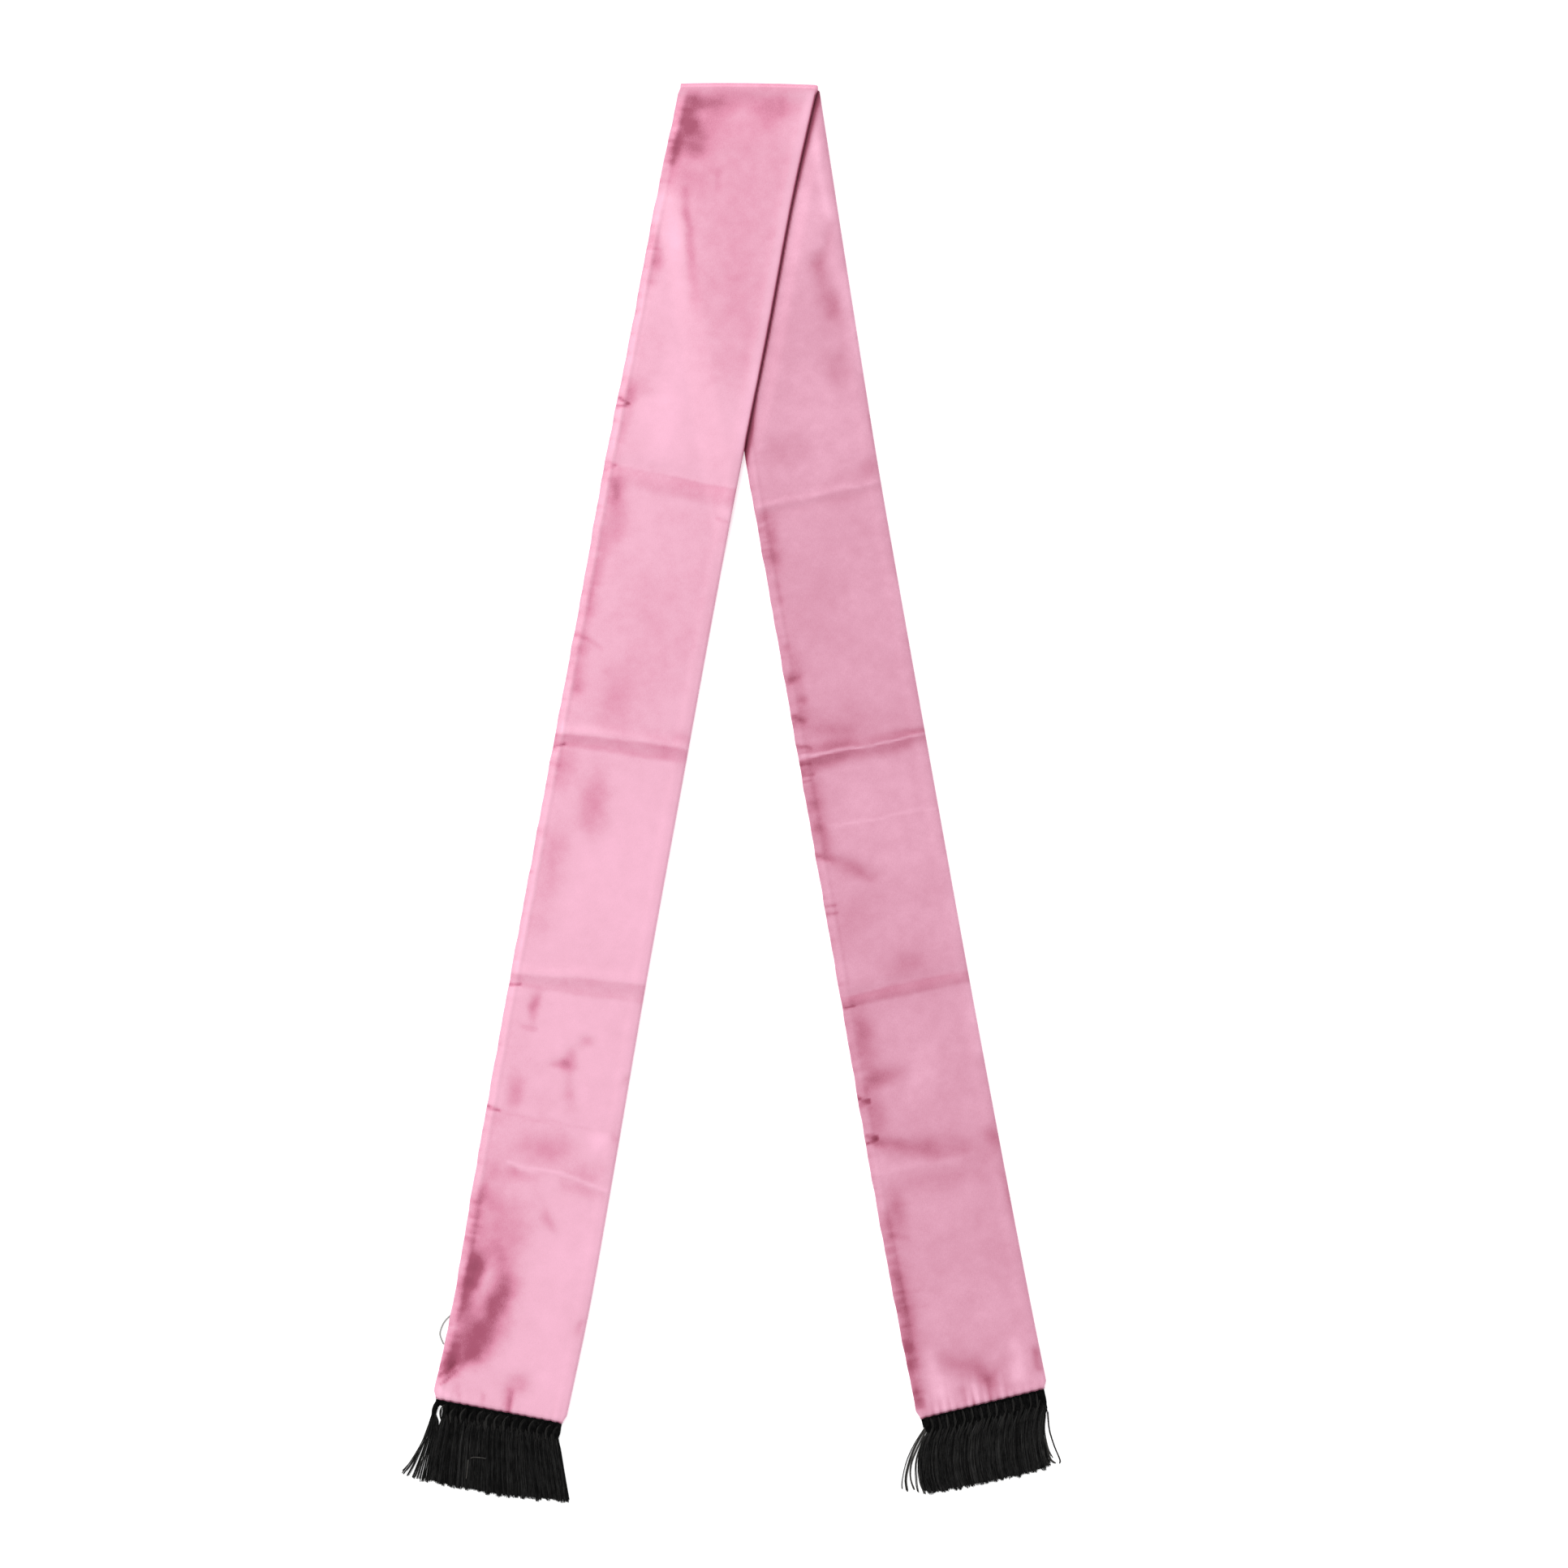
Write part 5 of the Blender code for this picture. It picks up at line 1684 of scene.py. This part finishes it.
FRONT_FRINGE = Fringe(
    "front_fringe",
    FRONT_OUTLINE,
    sweeps=table(
        Sweep,
        (0.0, -4.8, -14.2, 49.8), (0.02, -2.2, -4.4, 52.0), (0.045, -0.6, -0.4, 50.8),
        (0.2, 1.0, 3.4, 51.6), (0.5, 3.6, 8.2, 51.6), (0.65, 4.6, 10.0, 50.4), (0.85, 5.8, 12.2, 48.8),
        (1.0, 6.8, 13.9, 47.0),
    ),
    arcs=table(
        Arc,
        (((2.4, -0.06), (4.2, -0.36), (6.8, -0.46), (9.2, -0.4), (11.5, -0.28)), 1.9, 0.9, 1.5),
        (((3.0, 0.0), (4.6, -0.24), (6.8, -0.34), (8.6, -0.3)), 2.1, 0.35, 0.8),
        (((7.2, 0.14), (9.6, 0.28), (12.8, 0.42)), 1.8, 0.8, 1.1),
        (((8.6, 0.34), (10.4, 0.44), (12.6, 0.56)), 1.6, 0.45, 0.8),
    ),
    shifts=((0, -1.2), (1, -0.9), (2, -0.2), (3, 0.8), (5, 1.3), (8, 1.2), (11, 1.6), (13, 1.8), (14, 1.0)),
    bows=(Bow(0, -1.2, 19.0), Bow(1, 0.3, 17.0)),
    bare=(1.8, 5.3),
    wisps=table(
        Wisp,
        (((-186, -388.5), (-191.5, -402.5), (-197.5, -412), (-203, -418)), 1, 0.1),
        (((-185.5, -389), (-190.5, -403), (-196, -412.5), (-200.5, -418.5)), 1, 0.1),
        (((-187, -395), (-190, -408), (-192.5, -414)), 2, 0.3),
        (((-188, -408.5), (-191.5, -413.5), (-194.5, -421.5)), 4, 0.35),
        (((-160.2, -409.6), (-158.5, -409), (-154, -409.2), (-150.5, -409.8)), 1, 0.0, 1.6, 0.9),
        (((-161.6, -410.5), (-162.2, -416.5), (-162.9, -422.5)), 1, 0.0, 1.6, 0.3),
    ),
    seed=3,
)

BACK_FRINGE = Fringe(
    "back_fringe",
    BACK_OUTLINE,
    sweeps=table(
        Sweep,
        (0.0, -8.4, -9.4, 44.4), (0.055, -8.0, -8.9, 46.4), (0.3, -7.6, -8.6, 48.0),
        (0.6, -7.2, -8.4, 48.6), (0.85, -6.8, -8.0, 48.8), (0.95, -6.6, -7.4, 48.6),
        (1.0, -6.9, -6.8, 46.4),
    ),
    arcs=table(
        Arc,
        (((1.2, 0.54), (3.6, 0.53), (6.2, 0.48), (9.0, 0.36)), 1.9, 0.8, 1.4),
        (((2.4, 0.38), (4.4, 0.4), (7.0, 0.34)), 2.0, 0.3, 0.8),
        (((5.6, 0.72), (9.0, 0.36), (12.0, -0.06), (16.5, -0.56)), 1.7, 0.8, 1.3),
    ),
    shifts=((0, 0.4), (3, -0.3), (6, 0.3), (9, -0.2), (12, 0.3), (14, 0.0)),
    bows=(Bow(14, 1.0, 14.0),),
    bare=(-1.0, -0.5),
    wisps=table(
        Wisp,
        (((120.5, -390), (113.5, -401), (108.5, -412), (106, -423.5), (106, -430)), 2, 0.25),
        (((120.5, -391), (114, -402), (110, -413), (108, -423), (109, -431)), 5, 0.4),
        (((120.5, -393), (115, -404), (111.5, -413), (111, -422), (113.5, -430)), 5, 0.4),
        (((119.5, -396), (114.5, -411), (114.5, -424), (115.8, -431.5)), 2, 0.3),
        (((119.5, -398), (116.5, -414), (117.5, -424), (119.8, -432)), 6, 0.5),
        (((195.5, -381), (196.5, -392), (199.5, -402), (203, -410), (203, -412.5), (201.5, -413)), 2, 0.3),
        (((194, -383), (193.5, -393), (195.5, -403), (198.5, -409.5)), 2, 0.25),
        (((193.5, -398), (197, -409.5), (200.5, -413)), 8, 0.6),
        (((191, -400), (195, -411), (197.5, -414)), 8, 0.6),
    ),
    seed=8,
)

LOOSE_THREAD = Wisp(((-171.5, -320.5), (-176, -325), (-178.5, -330), (-179, -334), (-176.8, -339.5)), 1, 0.0)


@dataclass(frozen=True)
class Studio:
    """A pale floor, soft lights and a camera straight above, in metres."""

    floor_half: float = 4.0
    floor_under: float = -0.0002
    floor_colour: Triple = (0.94, 0.94, 0.94)
    floor_glow: float = 0.35
    floor_shade: float = 0.98
    floor_clouds: float = 1.5
    floor_uneven: float = 0.02
    world_strength: float = 0.62
    key_from: Triple = (-0.55, 0.95, 1.15)
    key_angle: float = 50.0
    key_strength: float = 2.35
    lens: float = 100.0
    sensor: float = 36.0
    view_middle: tuple[float, float] = (0.033, 0.00595)
    view_width: float = 0.966
    cloth_top: float = 0.0025

    def key_light(self) -> None:
        """Adds the broad soft key light, which comes from above the neck, a little to the left."""
        data = bpy.data.lights.new("key_light", "SUN")
        data.angle = math.radians(self.key_angle)
        data.energy = self.key_strength
        lamp = add_object("key_light", data)
        lamp.location = self.key_from
        lamp.rotation_euler = (-Vector(self.key_from)).to_track_quat("-Z", "Y").to_euler()

    def build(self) -> None:
        """Makes the floor, the lights, the sky and the camera."""
        scene = bpy.context.scene
        scene.view_settings.view_transform = "Standard"
        half, under = self.floor_half, self.floor_under
        mesh = bpy.data.meshes.new("studio_floor")
        corners = [(-half, -half, under), (half, -half, under), (half, half, under), (-half, half, under)]
        mesh.from_pydata(corners, [], [(0, 1, 2, 3)])
        shader = Shader("studio_floor_paint")
        shade = shader.noise(shader.place(), self.floor_clouds) * self.floor_uneven + 0.5
        pale = tuple(channel * self.floor_shade for channel in self.floor_colour)
        mesh.materials.append(shader.finish({
            "Base Color": shader.mix(pale, self.floor_colour, shade),
            "Roughness": 0.9,
            "Specular IOR Level": 0.1,
            "Emission Strength": self.floor_glow,
        }))
        floor = add_object("studio_floor", mesh)
        self.key_light()
        world = bpy.data.worlds.new("studio_sky")
        world.use_nodes = True
        background = world.node_tree.nodes["Background"]
        background.inputs["Color"].default_value = (1.0, 1.0, 1.0, 1.0)
        background.inputs["Strength"].default_value = self.world_strength
        scene.world = world
        data = bpy.data.cameras.new("camera")
        data.lens = self.lens
        data.sensor_width = self.sensor
        camera = add_object("camera", data)
        height = self.view_width * self.lens / self.sensor + self.cloth_top
        camera.location = (*self.view_middle, height)
        scene.camera = camera


def place_piece(piece: bpy.types.Object, nodes: tuple[str, ...] = ()) -> None:
    """Lets a piece ride on the scarf's one body, and hides the solids that it stands for."""
    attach(piece, BODY)
    if nodes:
        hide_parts(*nodes)
    LOG.info("%s: %d faces", piece.name, len(piece.data.polygons))


def main() -> None:
    """Builds the studio and the scarf."""
    logging.basicConfig(level=logging.INFO, format="%(name)s: %(message)s")
    Studio().build()
    front_folds = Folds(FRONT_STREAKS, FRONT_BANDS, FRONT_PATCHES, seed=11, gather=0.45)
    back_folds = Folds(BACK_STREAKS, BACK_BANDS, BACK_PATCHES, seed=23)
    front_strip = Strip(neck_x=11.5, neck_y=437.4, slant=-10.63)
    back_strip = Strip(neck_x=11.5, neck_y=437.4, slant=9.99)
    front = FrontTail("front_satin", FRONT_OUTLINE, front_strip, front_folds, back_folds).build()
    back = BackTail("back_satin", BACK_OUTLINE, back_strip, back_folds, front_folds).build()
    place_piece(front, ("front_stretch",))
    place_piece(back, ("back_stretch",))
    strands = StrandTree()
    for fringe in (FRONT_FRINGE, BACK_FRINGE):
        pieces = fringe.build(strands)
        for piece in pieces:
            place_piece(piece, (fringe.name,))
    loose = strands.grow(
        "loose_sewing_thread",
        FRONT_FRINGE.wisp_guides((LOOSE_THREAD,)),
        {
            "Strands": 1, "Strand Radius": STYLE.loose_radius * MM, "Sides": 6, "Ragged": 0.0, "Waver": 0.0,
            "Tint Spread": 0.2, "Across": Vector((1.0, 0.0, 0.0)), "Seed": 1,
            "Thread": GREY_THREAD.material(),
        },
    )
    place_piece(loose)


if __name__ == "__main__":
    main()
